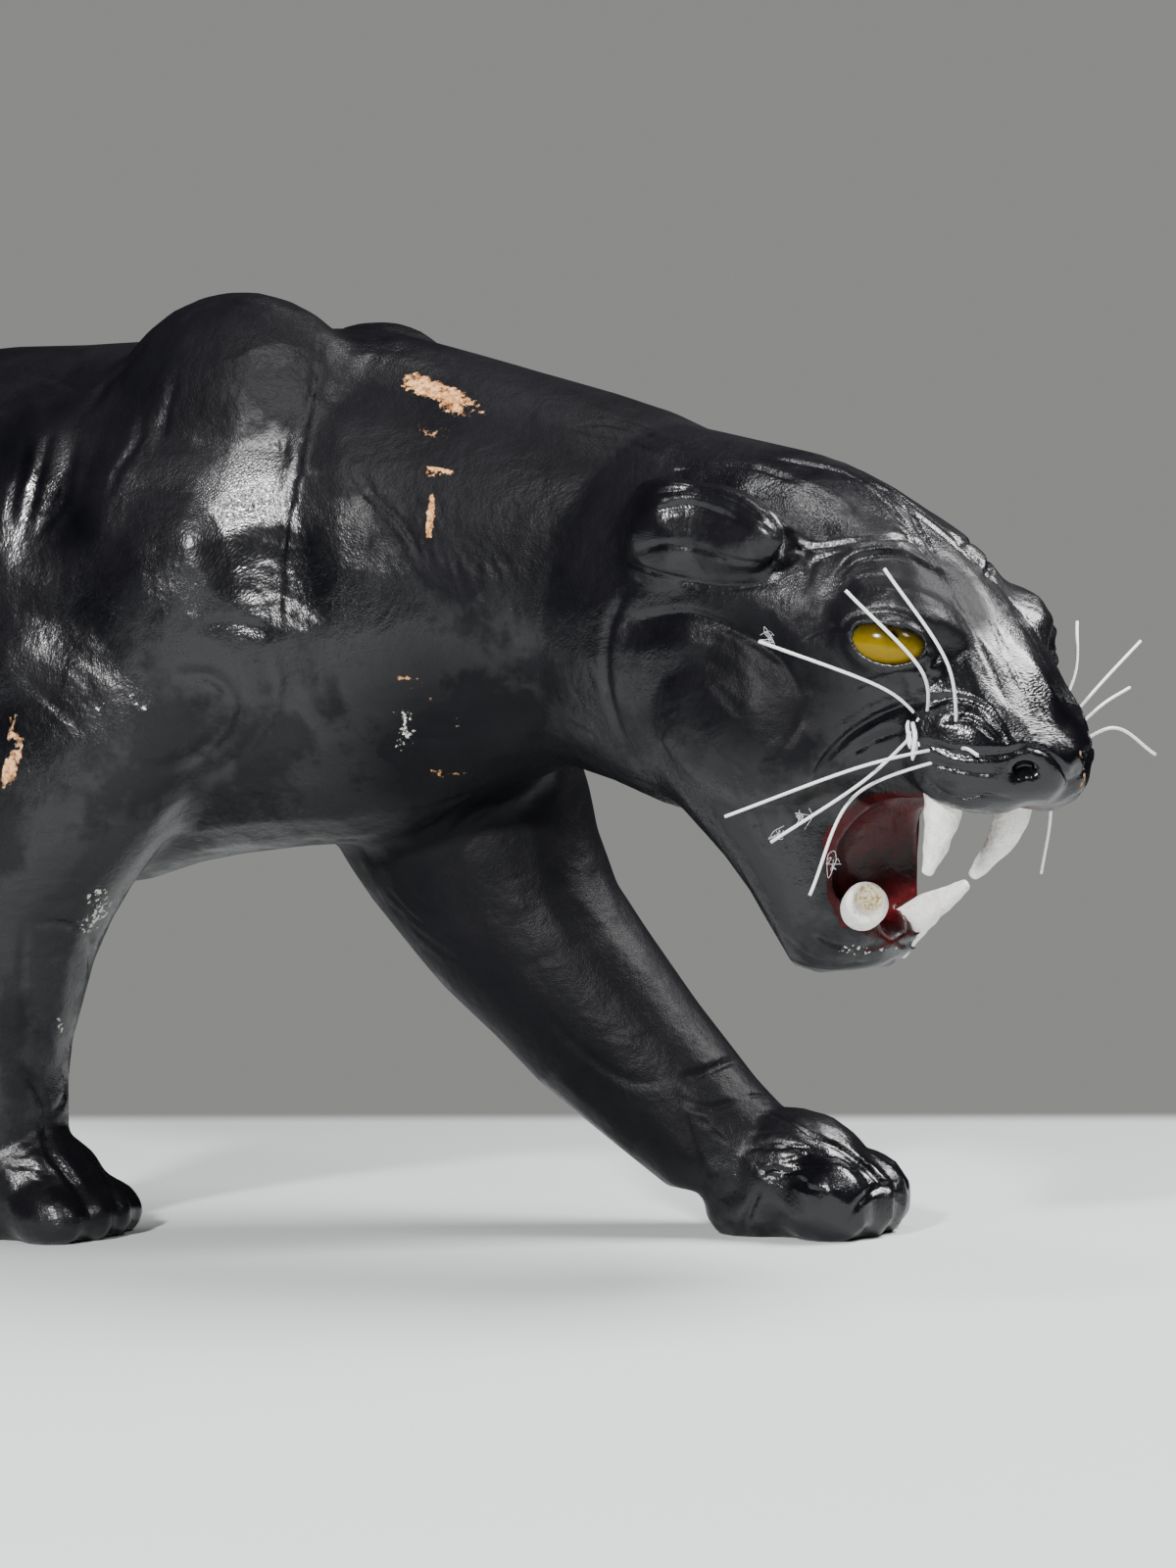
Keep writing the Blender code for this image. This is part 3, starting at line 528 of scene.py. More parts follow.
for width, depth, lift, lean, line in HEAD_CREASES.values():
    laid = skin.seen(line)
    skin.press(laid, width / 1000, depth / 1000, lift, lean)
    skin.press(skin.across(laid, HEAD), width / 1000, depth / 1000, lift, -lean)
for width, depth, lift, lean, line in [*NECK_CREASES.values(), *LEG_CREASES.values()]:
    skin.press(skin.seen(line), width / 1000, depth / 1000, lift, lean)
for width, depth, lift, lean, line in NECK_CREASES.values():
    skin.press(skin.across(skin.seen(line), FIGURE), width / 1000, depth / 1000, lift, -lean)
for name, (count, width, depth, first, last) in WRINKLES.items():
    frame_of = HEAD if name in ("jaw", "cheek", "throat", "bridge") else FIGURE
    for line in family(round(count * MORE_WRINKLES), first, last, WRINKLE_WAVER):
        laid = skin.seen(line)
        strength = depth / 1000 * chance.uniform(0.15, 0.85)
        skin.press(laid, width / 1000, strength, WRINKLE_SWELL)
        skin.press(skin.across(laid, frame_of), width / 1000, strength, WRINKLE_SWELL)
for name, (count, width, depth, first, last) in SIDE_WRINKLES.items():
    for side in (-1, 1):
        if name.startswith("right") and side > 0 or name.startswith("left") and side < 0:
            continue
        for line in family(count, first, last, SIDE_WAVER):
            laid = skin.from_side(line, side)
            skin.press(laid, width / 1000, depth / 1000 * chance.uniform(0.3, 1.0), WRINKLE_SWELL)
skin.settle()

# The glass of each eye and the half-moon between its lids
EYE_WIDTH, EYE_HEIGHT, EYE_DEPTH = 0.034, 0.022, 0.018
EYE_PROUD = 0.0035
EYE_YAW, EYE_PITCH, EYE_ROLL = 56, -8, 14
LID_TOP, LID_BOTTOM, LID_SIDE = 0.0066, 0.0103, 0.0163
LID_CURVE = 2.8
UPPER_ROLL, LOWER_ROLL, ROLL_OUT, ROLL_WIDTH = 0.0022, 0.0013, 0.0016, 0.0022
LID_FOLD, FOLD_OUT = -0.0012, 0.0062
GLASS_GAP, GLASS_SINK, LID_REACH = 0.0004, 0.0016, 0.004


def eye_place(side):
    """The frame of an eye's middle: x outwards, y across towards the figure's left and z up."""
    pitch = Matrix.Rotation(math.radians(EYE_PITCH), 4, "Y")
    facing = Matrix.Rotation(math.radians(side * EYE_YAW), 4, "Z") @ pitch
    place = HEAD @ Matrix.Translation((EYE_FORWARD, side * EYE_OUT, EYE_UP)) @ facing
    place = place @ Matrix.Rotation(math.radians(side * EYE_ROLL), 4, "X")
    return place @ Matrix.Translation((EYE_PROUD - EYE_DEPTH / 2, 0, 0))


def seat_eye(points, side):
    """Rolls the lids up round the glass and sinks the skin that lies behind it."""
    place = eye_place(side)
    into, back = np.array(place.inverted()), np.array(place)
    local = points @ into[:3, :3].T + into[:3, 3]
    x, y, z = local.T
    close = np.flatnonzero((abs(y) < 0.030) & (abs(z) < 0.024) & (x > -0.010) & (x < 0.016))
    x, y, z = local[close].T
    glass = EYE_DEPTH / 2 * np.sqrt(np.clip(1 - (2 * y / EYE_WIDTH) ** 2 - (2 * z / EYE_HEIGHT) ** 2, 0, 1))
    upper = (abs(y / LID_SIDE) ** LID_CURVE + abs(z / LID_TOP) ** LID_CURVE) ** (1 / LID_CURVE)
    lower = np.sqrt((y / LID_SIDE) ** 2 + (z / LID_BOTTOM) ** 2)
    round_it = np.where(z > 0, upper, lower)
    outside = (round_it - 1) * np.hypot(y, z) / np.maximum(round_it, 0.2)
    roll = np.where(z > 0, UPPER_ROLL, LOWER_ROLL) * np.exp(-(((outside - ROLL_OUT) / ROLL_WIDTH) ** 2))
    fold = LID_FOLD * np.exp(-(((outside - FOLD_OUT) / ROLL_WIDTH) ** 2))
    raised = np.maximum(x, np.where(outside < LID_REACH, glass + GLASS_GAP, -1)) + roll + fold
    x = np.where(outside > 0, raised, np.minimum(x, glass - GLASS_SINK))
    local[close, 0] = x
    moved = points.copy()
    moved[close] = local[close] @ back[:3, :3].T + back[:3, 3]
    return moved


set_points(hide_mesh, seat_eye(seat_eye(points_of(hide_mesh), -1), 1))

# Nostrils: a deep comma on each side of the nose, under a rolled wing
NOSTRIL = ((1036, 789), (1046, 784), (1058, 788))
NOSTRIL_WIDTH, NOSTRIL_DEPTH, NOSTRIL_ROLL = 0.0052, 0.0058, 0.30
pits = Skin(hide_mesh)
laid = pits.seen(NOSTRIL, 3.0)
for line in (laid, pits.across(laid, HEAD)):
    pits.press(line, NOSTRIL_WIDTH, NOSTRIL_DEPTH, NOSTRIL_ROLL)
pits.settle()

# The pocket of the mouth, as its middle, its half sizes and its lean in the head's frame
POCKETS = (
    ((0.163, 0.0, 0.187), (0.028, 0.034, 0.033), 0.30),
    ((0.190, 0.0, 0.208), (0.036, 0.032, 0.018), 0.10),
    ((0.228, 0.0, 0.210), (0.024, 0.019, 0.008), 0.0),
)
points, normals = points_of(hide_mesh), normals_of(hide_mesh)
lining = np.zeros(len(points))
for middle, half, lean in POCKETS:
    place = HEAD @ Matrix.Translation(middle) @ Matrix.Rotation(lean, 4, "Y")
    into = np.array(place.inverted())
    local = (points @ into[:3, :3].T + into[:3, 3]) / np.array(half)
    turned = normals @ into[:3, :3].T
    inwards = np.einsum("ij,ij->i", local, turned) < 0.25
    lining = np.maximum(lining, np.clip((1.34 - np.linalg.norm(local, axis=1)) / 0.16, 0, 1) * inwards)


def mark(mesh, name, values):
    """A number at each point of the mesh, for its finish to read."""
    attribute = mesh.attributes.new(name, "FLOAT", "POINT")
    attribute.data.foreach_set("value", np.asarray(values, np.float32))


# Where the black has worn off, over the camera's view: reach in millimetres, strength, line
BARE_TAN = {
    "neck": (13, 1.0, ((418, 388), (432, 394), (446, 400), (462, 407))),
    "neck_flecks": (9, 0.80, ((425, 432), (447, 444), (485, 415), (500, 448))),
    "neck_low": (12, 0.74, ((408, 688), (425, 700), (440, 712))),
    "neck_edge": (9, 0.74, ((440, 788), (465, 790), (490, 792))),
    "neck_scratch": (5, 1.0, ((438, 462), (436, 490), (440, 520), (437, 545))),
    "neck_scratch_short": (6, 0.95, ((455, 470), (463, 490), (463, 508))),
    "upper_arm": (9, 1.0, ((14, 738), (15, 765), (8, 795))),
    "cheek": (12, 0.5, ((655, 684), (668, 695), (686, 706))),
    "nose_tip": (4, 0.85, ((1103, 768), (1108, 785), (1104, 800))),
    "ear_rim": (5, 0.6, ((650, 492), (680, 489), (715, 494))),
    "paw": (6, 0.7, ((882, 1208), (895, 1212), (906, 1222))),
    "heel": (6, 0.6, ((745, 1255), (757, 1257))),
    "near_sole": (6, 0.6, ((6, 1256), (30, 1257), (60, 1254))),
}
CHIPPED_WHITE = {
    "neck_drip": (9, 0.85, ((412, 730), (414, 745), (410, 760))),
    "neck_dash": (7, 0.6, ((458, 735), (472, 737), (486, 738))),
    "shin": (15, 0.80, ((100, 915), (106, 930), (92, 942))),
    "shin_low": (6, 0.8, ((60, 1042), (62, 1050))),
    "chin": (7, 0.70, ((862, 968), (890, 970), (915, 966))),
    "flank_dot": (5, 0.6, ((104, 534), (107, 537))),
    "upper_arm": (7, 0.78, ((105, 722), (125, 714), (150, 722))),
}
# Where the glaze still shines, over the camera's view: the place and its reach in millimetres
GLAZED = (
    (264, 500, 50), (258, 545, 36), (815, 530, 40), (900, 500, 45),
    (1040, 670, 42), (1070, 700, 46), (1090, 740, 36), (1000, 748, 28), (1060, 800, 26), (655, 540, 26),
    (735, 520, 20), (900, 580, 20), (880, 745, 22), (868, 1196, 34), (60, 1190, 34), (30, 470, 60),
)
# Where it has gone dull and drinks the light
RUBBED_DULL = (
    (395, 440, 70), (440, 500, 60), (520, 500, 80), (590, 500, 60), (120, 400, 60), (200, 330, 60),
    (250, 375, 62), (285, 365, 62), (225, 395, 50), (700, 1000, 90), (600, 870, 80), (500, 420, 90),
    (600, 430, 80), (775, 690, 55), (955, 605, 34), (985, 625, 20),
    (480, 900, 100), (560, 950, 100), (640, 960, 100), (620, 880, 90), (690, 1050, 90), (730, 1110, 60),
)
masks = []
for places in (GLAZED, RUBBED_DULL):
    masks.append(np.zeros(len(points)))
    for across, down, reach in places:
        laid = skin.seen(((across, down), (across + 3, down + 3)))
        for where, _ in [*laid[:1], *skin.across(laid[:1], FIGURE)]:
            masks[-1] = np.maximum(masks[-1], np.clip(1.8 * nearby(points, where, reach / 1000), 0, 1))
glazed, rubbed_dull = masks
for label, places in (("bared", BARE_TAN), ("chipped", CHIPPED_WHITE)):
    amount = np.zeros(len(points))
    for reach, strength, line in places.values():
        for where, _ in skin.seen(line, 8.0):
            amount = np.maximum(amount, strength * nearby(points, where, reach / 1000) ** 0.5)
    mark(hide_mesh, label, amount)
mark(hide_mesh, "lining", lining)
mark(hide_mesh, "glazed", glazed)
mark(hide_mesh, "rubbed_dull", rubbed_dull)

faces = sum(len(polygon.vertices) - 2 for polygon in hide_mesh.polygons)
hide_mesh = stage_of(hide_mesh, "DECIMATE", ratio=min(1.0, MOST_TRIANGLES / faces))
hide_mesh.name = "hide"
hide = bpy.data.objects.new("hide", hide_mesh)
bpy.context.scene.collection.objects.link(hide)
hide_mesh.shade_smooth()
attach(hide, "root")
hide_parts("panther_body")


class Wire:
    """A node's socket that takes part in Python arithmetic."""

    def __init__(self, finish, socket):
        self.finish, self.socket = finish, socket

    def sum(self, operation, *values):
        return self.finish.node("Math", {"operation": operation}, dict(enumerate(values)))

    def __add__(self, other):
        return self.sum("ADD", self, other)

    def __sub__(self, other):
        return self.sum("SUBTRACT", self, other)

    def __rsub__(self, other):
        return self.sum("SUBTRACT", other, self)

    def __mul__(self, other):
        return self.sum("MULTIPLY", self, other)

    __radd__, __rmul__ = __add__, __mul__


class Finish:
    """A material whose nodes are added one by one."""

    def __init__(self, name):
        self.material = bpy.data.materials.new(name)
        self.material.use_nodes = True
        self.tree = self.material.node_tree
        self.shader = self.tree.nodes["Principled BSDF"]

    def node(self, kind, settings, values, out=0):
        """Any node: its settings are made first, then its sockets are given values or links."""
        made = self.tree.nodes.new("ShaderNode" + kind)
        for key, value in settings.items():
            if key == "stops":
                ramp = made.color_ramp
                for _ in range(len(value) - 2):
                    ramp.elements.new(0.5)
                for element, (place, colour) in zip(ramp.elements, value):
                    element.position, element.color = place, colour
            else:
                setattr(made, key, value)
        for key, value in values.items():
            self.feed(made.inputs[key], value)
        return Wire(self, made.outputs[out])

    def feed(self, socket, value):
        if isinstance(value, Wire):
            self.tree.links.new(value.socket, socket)
        else:
            socket.default_value = value

    def surface(self, **values):
        for key, value in values.items():
            self.feed(self.shader.inputs[key.replace("_", " ")], value)

    def dress(self, obj):
        obj.data.materials.clear()
        obj.data.materials.append(self.material)


# Hide: leather
# Black, glazed goatskin: a blue-black that the light runs off on top, duller and greyer below,
# with a fine pebble and the small wrinkles of skin that was laid wet. Where it is rubbed
# through, the tan of the leather shows, with specks of white filler. The mouth is painted red,
# its red darkened throughout and to near black in patches as painted shade inside the mouth.
leather = Finish("black_leather")
spot = leather.node("TexCoord", {}, {}, "Object")
warp = leather.node("TexNoise", {"normalize": False}, {"Vector": spot, "Scale": 9.0, "Detail": 2.0}, "Color")
drift = leather.node("VectorMath", {"operation": "SCALE"}, {0: warp, "Scale": 0.035})
bent = leather.node("VectorMath", {"operation": "ADD"}, {0: spot, 1: drift})
slanted = leather.node(
    "Mapping", {}, {"Vector": bent, "Rotation": (0.0, 0.6, 0.0), "Scale": (34.0, 60.0, 130.0)}
)
wrinkle = leather.node(
    "TexNoise", {"noise_type": "RIDGED_MULTIFRACTAL"},
    {"Vector": slanted, "Scale": 1.0, "Detail": 4.0, "Roughness": 0.55, "Lacunarity": 2.1},
)
crossed = leather.node(
    "Mapping", {}, {"Vector": bent, "Rotation": (0.3, -0.9, 0.2), "Scale": (150.0, 60.0, 40.0)}
)
crossing = leather.node(
    "TexNoise", {"noise_type": "RIDGED_MULTIFRACTAL"},
    {"Vector": crossed, "Scale": 1.0, "Detail": 3.0, "Roughness": 0.5},
)
pebble = leather.node("TexVoronoi", {"feature": "DISTANCE_TO_EDGE"}, {"Vector": bent, "Scale": 640.0})
patch = leather.node("TexNoise", {}, {"Vector": spot, "Scale": 14.0, "Detail": 5.0, "Roughness": 0.6})
cloud = leather.node("TexNoise", {}, {"Vector": spot, "Scale": 60.0, "Detail": 5.0, "Roughness": 0.65})
speck = leather.node("TexNoise", {}, {"Vector": spot, "Scale": 330.0, "Detail": 4.0, "Roughness": 0.7})
bared = leather.node("Attribute", {"attribute_name": "bared"}, {}, "Fac")
chipped = leather.node("Attribute", {"attribute_name": "chipped"}, {}, "Fac")
lining = leather.node("Attribute", {"attribute_name": "lining"}, {}, "Fac")
glazed = leather.node("Attribute", {"attribute_name": "glazed"}, {}, "Fac")
rubbed_dull = leather.node("Attribute", {"attribute_name": "rubbed_dull"}, {}, "Fac")


def step_of(finish, value, low, high):
    """0 below low, 1 above high, and smooth between."""
    return finish.node(
        "MapRange", {"interpolation_type": "SMOOTHSTEP"}, {"Value": value, "From Min": low, "From Max": high}
    )


ragged = cloud * 0.55 + speck * 0.45
tan = step_of(leather, bared * 0.62 + ragged * 0.75, 0.80, 0.86)
white = step_of(leather, chipped * 0.55 + speck * 0.9, 0.86, 0.91)
red = step_of(leather, lining + cloud * 0.5, 0.75, 0.95)
black = leather.node(
    "ValToRGB",
    {"stops": ((0.30, (0.0012, 0.0012, 0.0022, 1)), (0.74, (0.0068, 0.0066, 0.0084, 1)))},
    {"Fac": patch},
)
rubbed = leather.node(
    "ValToRGB",
    {
        "stops": (
            (0.35, (0.12, 0.045, 0.014, 1)), (0.5, (0.46, 0.21, 0.085, 1)), (0.62, (0.74, 0.42, 0.20, 1)),
        )
    },
    {"Fac": speck},
)
# The red paint of the mouth, darkened throughout and to near black in patches: painted shade for the inside
# of the mouth.
oxblood_and_shade = leather.node(
    "ValToRGB",
    {"stops": ((0.35, (0.006, 0.0005, 0.0007, 1)), (0.65, (0.060, 0.0030, 0.0042, 1)))},
    {"Fac": cloud},
)


def mixed(finish, share, first, second):
    """One colour turning into another."""
    return finish.node("Mix", {"data_type": "RGBA"}, {"Factor": share, "A": first, "B": second}, "Result")


colour = mixed(leather, tan, black, rubbed)
colour = mixed(leather, white, colour, (0.62, 0.60, 0.55, 1.0))
dull = 1 - glazed
gloss = step_of(leather, patch, 0.30, 0.70) * 0.12 + 0.11 + speck * 0.10 + dull * 0.07
roughness = gloss + tan * 0.45 + white * 0.4 + rubbed_dull * 0.12
furrow = wrinkle * 0.36 + crossing * 0.22 + cloud * 1.2 + patch * 3.0
relief = furrow * (dull * 0.8 + 0.2) + pebble * 0.22 - tan * 0.6
bump = leather.node("Bump", {}, {"Height": relief, "Strength": 1.0, "Distance": 0.0007})
leather.surface(Base_Color=colour, Roughness=roughness, Normal=bump)
mouth = leather.node(
    "BsdfPrincipled", {},
    {"Base Color": oxblood_and_shade, "Roughness": 0.32, "Specular IOR Level": 0.22, "Normal": bump},
)
blotch = step_of(leather, patch * 0.75 + cloud * 0.25, 0.50, 0.60)
worn_dull = leather.node(
    "BsdfPrincipled", {},
    {"Base Color": colour, "Roughness": 0.5, "Specular IOR Level": 0.10, "Normal": bump},
)
glossy = Wire(leather, leather.shader.outputs[0])
faded = rubbed_dull * 0.95 + dull * blotch * 0.62
outside = leather.node("MixShader", {}, {0: faded, 1: glossy, 2: worn_dull})
whole = leather.node("MixShader", {}, {0: red, 1: outside, 2: mouth})
leather.feed(leather.tree.nodes["Material Output"].inputs["Surface"], whole)
leather.dress(hide)

# Eyes
# Taxidermist's glass: a domed almond painted amber behind, with a ragged black pupil, seated
# in the skin with its lower rim bare. Towards the top the amber darkens to near black, which
# is painted shade from the upper lid.
glass = Finish("amber_glass")
spot = glass.node("TexCoord", {}, {}, "Object")
streak = glass.node("TexNoise", {}, {"Vector": spot, "Scale": 95.0, "Detail": 4.0, "Roughness": 0.6})
depth = glass.node("Attribute", {"attribute_name": "rise"}, {}, "Fac")
pupil = glass.node("Attribute", {"attribute_name": "pupil"}, {}, "Fac")
# Amber low on the eye, turning to near black at the top: the darkening is painted shade of the upper lid.
amber_and_lid_shade = glass.node(
    "ValToRGB",
    {
        "stops": (
            (0.18, (0.17, 0.110, 0.002, 1)), (0.42, (0.19, 0.125, 0.002, 1)),
            (0.58, (0.07, 0.048, 0.002, 1)), (0.76, (0.010, 0.007, 0.002, 1)),
        )
    },
    {"Fac": depth * 0.75 + streak * 0.35},
)
smear = step_of(glass, pupil + streak * 0.6, 0.80, 1.0)
colour = mixed(glass, smear, amber_and_lid_shade, (0.006, 0.004, 0.002, 1.0))
glass.surface(Base_Color=colour, Roughness=0.14)
glass.shader.inputs["Specular IOR Level"].default_value = 0.16
for side, name in ((-1, "eye_right"), (1, "eye_left")):
    bm = bmesh.new()
    size = Matrix.Diagonal((EYE_DEPTH / 2, EYE_WIDTH / 2, EYE_HEIGHT / 2, 1.0))
    bmesh.ops.create_uvsphere(bm, u_segments=48, v_segments=32, radius=1.0, matrix=eye_place(side) @ size)
    mesh = bpy.data.meshes.new(name + "_glass")
    bm.to_mesh(mesh)
    bm.free()
    mesh.shade_smooth()
    into = np.array((eye_place(side) @ size).inverted())
    local = points_of(mesh) @ into[:3, :3].T + into[:3, 3]
    # The height up the eye, which the colour ramp darkens towards the top as painted shade of the upper lid.
    mark(mesh, "rise", local[:, 2] * 0.5 + 0.5)
    mark(mesh, "pupil", 1 - np.hypot((local[:, 1] + side * 0.15) / 0.34, (local[:, 2] - 0.20) / 0.60))
    obj = bpy.data.objects.new(name + "_glass", mesh)
    bpy.context.scene.collection.objects.link(obj)
    glass.dress(obj)
    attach(obj, "root")
    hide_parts(name)


# Teeth
# Three long fangs and the stub of a fourth, cast in white composition and pegged in the gums.
# They are chalky and unevenly rubbed down, and the broken one has crumbled in the middle.
FANGS = {
    "fang_upper_right": (0.0100, (0.215, -0.026, 0.230), (0.212, -0.028, 0.206), (0.205, -0.029, 0.187)),
    "fang_upper_left": (0.0098, (0.216, 0.026, 0.226), (0.208, 0.025, 0.202), (0.193, 0.021, 0.184)),
    "fang_lower_left": (0.0102, (0.140, 0.023, 0.152), (0.158, 0.026, 0.166), (0.181, 0.029, 0.178)),
}
FANG_TAPER = 0.70
TOOTH_LUMPS = 0.0011
CRUMB_REACH = 0.0085
STUB_ROOT, STUB_TOP, STUB_RADIUS = (0.150, -0.014, 0.166), (0.167, -0.026, 0.173), 0.0103


def add_tube(bm, points, radii, sides, place):
    """A closed round form along a bent line of the head's frame, its rings square to the line."""
    points = [place @ Vector(point) for point in points]
    side, loops = place.to_3x3() @ Vector((0, 1, 0)), []
    for index, (point, radius) in enumerate(zip(points, radii)):
        ahead = points[min(index + 1, len(points) - 1)] - points[max(index - 1, 0)]
        up = ahead.cross(side).normalized()
        side = up.cross(ahead).normalized()
        turn = Matrix((side, up, side.cross(up))).transposed().to_4x4()
        matrix = Matrix.Translation(point) @ turn
        ring = bmesh.ops.create_circle(bm, segments=sides, radius=radius, matrix=matrix)
        loops.append(list({edge for vert in ring["verts"] for edge in vert.link_edges}))
    for loop, following in zip(loops, loops[1:]):
        bmesh.ops.bridge_loops(bm, edges=loop + following)
    for loop in (loops[0], loops[-1]):
        bmesh.ops.contextual_create(bm, geom=loop)
    bmesh.ops.recalc_face_normals(bm, faces=bm.faces)


def add_object(name, bm, finish, replaced):
    """The bmesh as a smooth piece that rides on the figure and stands for a node."""
    mesh = bpy.data.meshes.new(name)
    bm.to_mesh(mesh)
    bm.free()
    mesh.shade_smooth()
    obj = bpy.data.objects.new(name, mesh)
    bpy.context.scene.collection.objects.link(obj)
    finish.dress(obj)
    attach(obj, "root")
    if replaced:
        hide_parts(replaced)
    return obj


ivory = Finish("ivory_teeth")
spot = ivory.node("TexCoord", {}, {}, "Object")
dent = ivory.node("TexNoise", {}, {"Vector": spot, "Scale": 130.0, "Detail": 3.0, "Roughness": 0.5})
dust = ivory.node("TexNoise", {}, {"Vector": spot, "Scale": 620.0, "Detail": 5.0, "Roughness": 0.7})
crumb = ivory.node("Attribute", {"attribute_name": "crumb"}, {}, "Fac")
stain = ivory.node("Attribute", {"attribute_name": "stain"}, {}, "Fac")
chalk = ivory.node(
    "ValToRGB",
    {"stops": ((0.30, (0.40, 0.38, 0.33, 1)), (0.42, (0.80, 0.78, 0.73, 1)), (0.60, (0.92, 0.91, 0.86, 1)))},
    {"Fac": dust * 0.6 + dent * 0.4},
)
broken = ivory.node(
    "ValToRGB",
    {"stops": ((0.38, (0.30, 0.20, 0.07, 1)), (0.50, (0.72, 0.62, 0.38, 1)), (0.62, (0.90, 0.86, 0.72, 1)))},
    {"Fac": dust},
)
colour = mixed(ivory, step_of(ivory, crumb + dust * 0.5, 0.62, 0.80), chalk, broken)
colour = mixed(ivory, step_of(ivory, stain + dust * 0.5, 0.66, 0.84), colour, (0.16, 0.055, 0.022, 1.0))
rough = dent * 2.6 + dust * 0.6 + crumb * dust * 2.5
bump = ivory.node("Bump", {}, {"Height": rough, "Strength": 1.0, "Distance": 0.0010})
ivory.surface(Base_Color=colour, Roughness=0.5, Normal=bump)
for name, (radius, *line) in FANGS.items():
    rows = eased(line, 0.0015)
    last = len(rows) - 1
    radii = [radius * (1 - FANG_TAPER * (index / last) ** 1.4) for index in range(last + 1)]
    tip = rows[-1] - rows[-2]
    for forward, share in ((0.0008, 0.88), (0.0015, 0.62), (0.0019, 0.25)):
        rows.append(rows[last] + tip / np.linalg.norm(tip) * forward)
        radii.append(radii[last] * share)
    bm = bmesh.new()
    add_tube(bm, rows, radii, 28, HEAD)
    for vert in bm.verts:
        vert.co += vert.normal * TOOTH_LUMPS * noise.noise(vert.co * 140)
    tooth = add_object(name.replace("fang", "tooth"), bm, ivory, name)
    lip = HEAD @ Vector(line[0]).lerp(Vector(line[1]), 0.80 if "lower" in name else 0.35)
    mark(tooth.data, "stain", nearby(points_of(tooth.data), lip, 0.011 if "lower" in name else 0.006))
root, top = Vector(STUB_ROOT), Vector(STUB_TOP)
ahead = (top - root).normalized()
# The stub's rings, as how far each is along from its top and its share of the radius
STUB_PROFILE = (
    (-0.022, 0.86), (-0.011, 1.0), (-0.004, 1.02), (-0.0015, 0.99), (-0.0003, 0.93),
    (0.0002, 0.84), (0.0, 0.72), (-0.0010, 0.60), (-0.0026, 0.44), (-0.0032, 0.2),
)
bm = bmesh.new()
rows = [top + ahead * back for back, _ in STUB_PROFILE]
radii = [STUB_RADIUS * share for _, share in STUB_PROFILE]
add_tube(bm, rows, radii, 36, HEAD)
tooth = add_object("tooth_lower_right", bm, ivory, "fang_lower_right")
middle = HEAD @ (top + Vector((0.001, 0, 0.002)))
mark(tooth.data, "crumb", nearby(points_of(tooth.data), middle, CRUMB_REACH) ** 0.4)


# Whiskers
# Twelve stiff white bristles, each the thickness of a fishing line, pushed into holes in the
# lip and stuck there. They bend where they have been knocked.
WHISKER_DIAMETER = 0.0015
WHISKERS = {
    "whisker_right_1": ((0.214, -0.042, 0.256), (0.207, -0.062, 0.271), (0.166, -0.096, 0.293)),
    "whisker_right_2": ((0.218, -0.042, 0.257), (0.232, -0.064, 0.278), (0.214, -0.092, 0.313)),
    "whisker_right_3": ((0.212, -0.042, 0.251), (0.206, -0.074, 0.229), (0.173, -0.100, 0.203)),
    "whisker_right_4": ((0.231, -0.038, 0.247), (0.244, -0.060, 0.280), (0.228, -0.082, 0.322)),
    "whisker_right_5": ((0.225, -0.040, 0.243), (0.206, -0.078, 0.235), (0.155, -0.110, 0.215)),
    "whisker_right_6": ((0.226, -0.040, 0.238), (0.200, -0.074, 0.222), (0.188, -0.092, 0.179)),
    "whisker_right_7": ((0.232, -0.038, 0.242), (0.244, -0.048, 0.242), (0.256, -0.056, 0.239)),
    "whisker_left_1": ((0.226, 0.040, 0.252), (0.224, 0.062, 0.276), (0.216, 0.076, 0.301)),
    "whisker_left_2": ((0.228, 0.039, 0.247), (0.234, 0.070, 0.272), (0.235, 0.100, 0.291)),
    "whisker_left_3": ((0.230, 0.038, 0.242), (0.236, 0.064, 0.260), (0.235, 0.090, 0.269)),
    "whisker_left_4": ((0.232, 0.037, 0.237), (0.243, 0.064, 0.250), (0.247, 0.092, 0.237)),
    "whisker_left_5": ((0.218, 0.042, 0.234), (0.206, 0.064, 0.212), (0.192, 0.074, 0.182)),
}
bristle = Finish("white_bristle")
bristle.surface(Base_Color=(0.80, 0.82, 0.83, 1.0), Roughness=0.35)
for name, line in WHISKERS.items():
    u, v, z = line[0]
    rows = eased([(u, v - math.copysign(0.003, v), z), *line], 0.002)
    bm = bmesh.new()
    add_tube(bm, rows, [WHISKER_DIAMETER / 2] * len(rows), 10, HEAD)
    add_object(name.replace("whisker", "bristle"), bm, bristle, name)
# A frayed pale scrap caught at the roots, and lint caught along the bristles
SCRAP_AT, SCRAP_DROP, SCRAP_WIDTH = (0.2145, -0.0475, 0.254), 0.014, 0.0035
LINT = ((0.183, -0.090, 0.214), (0.176, -0.098, 0.206), (0.172, -0.096, 0.2945), (0.194, -0.084, 0.193))
bm = bmesh.new()
for index in range(9):
    start = np.array(SCRAP_AT) + chance.uniform(-SCRAP_WIDTH, SCRAP_WIDTH, 3) * (1.0, 0.3, 1.0)
    end = start + (chance.uniform(-0.003, 0.002), -0.002, -SCRAP_DROP * chance.uniform(0.4, 1.0))
    middle = (start + end) / 2 + chance.uniform(-0.0015, 0.0015, 3)
    rows = eased([start, middle, end], 0.002)
    add_tube(bm, rows, [0.0009] + [0.0011] * (len(rows) - 2) + [0.0005], 6, HEAD)
add_object("bristle_scrap", bm, bristle, None)
bm = bmesh.new()
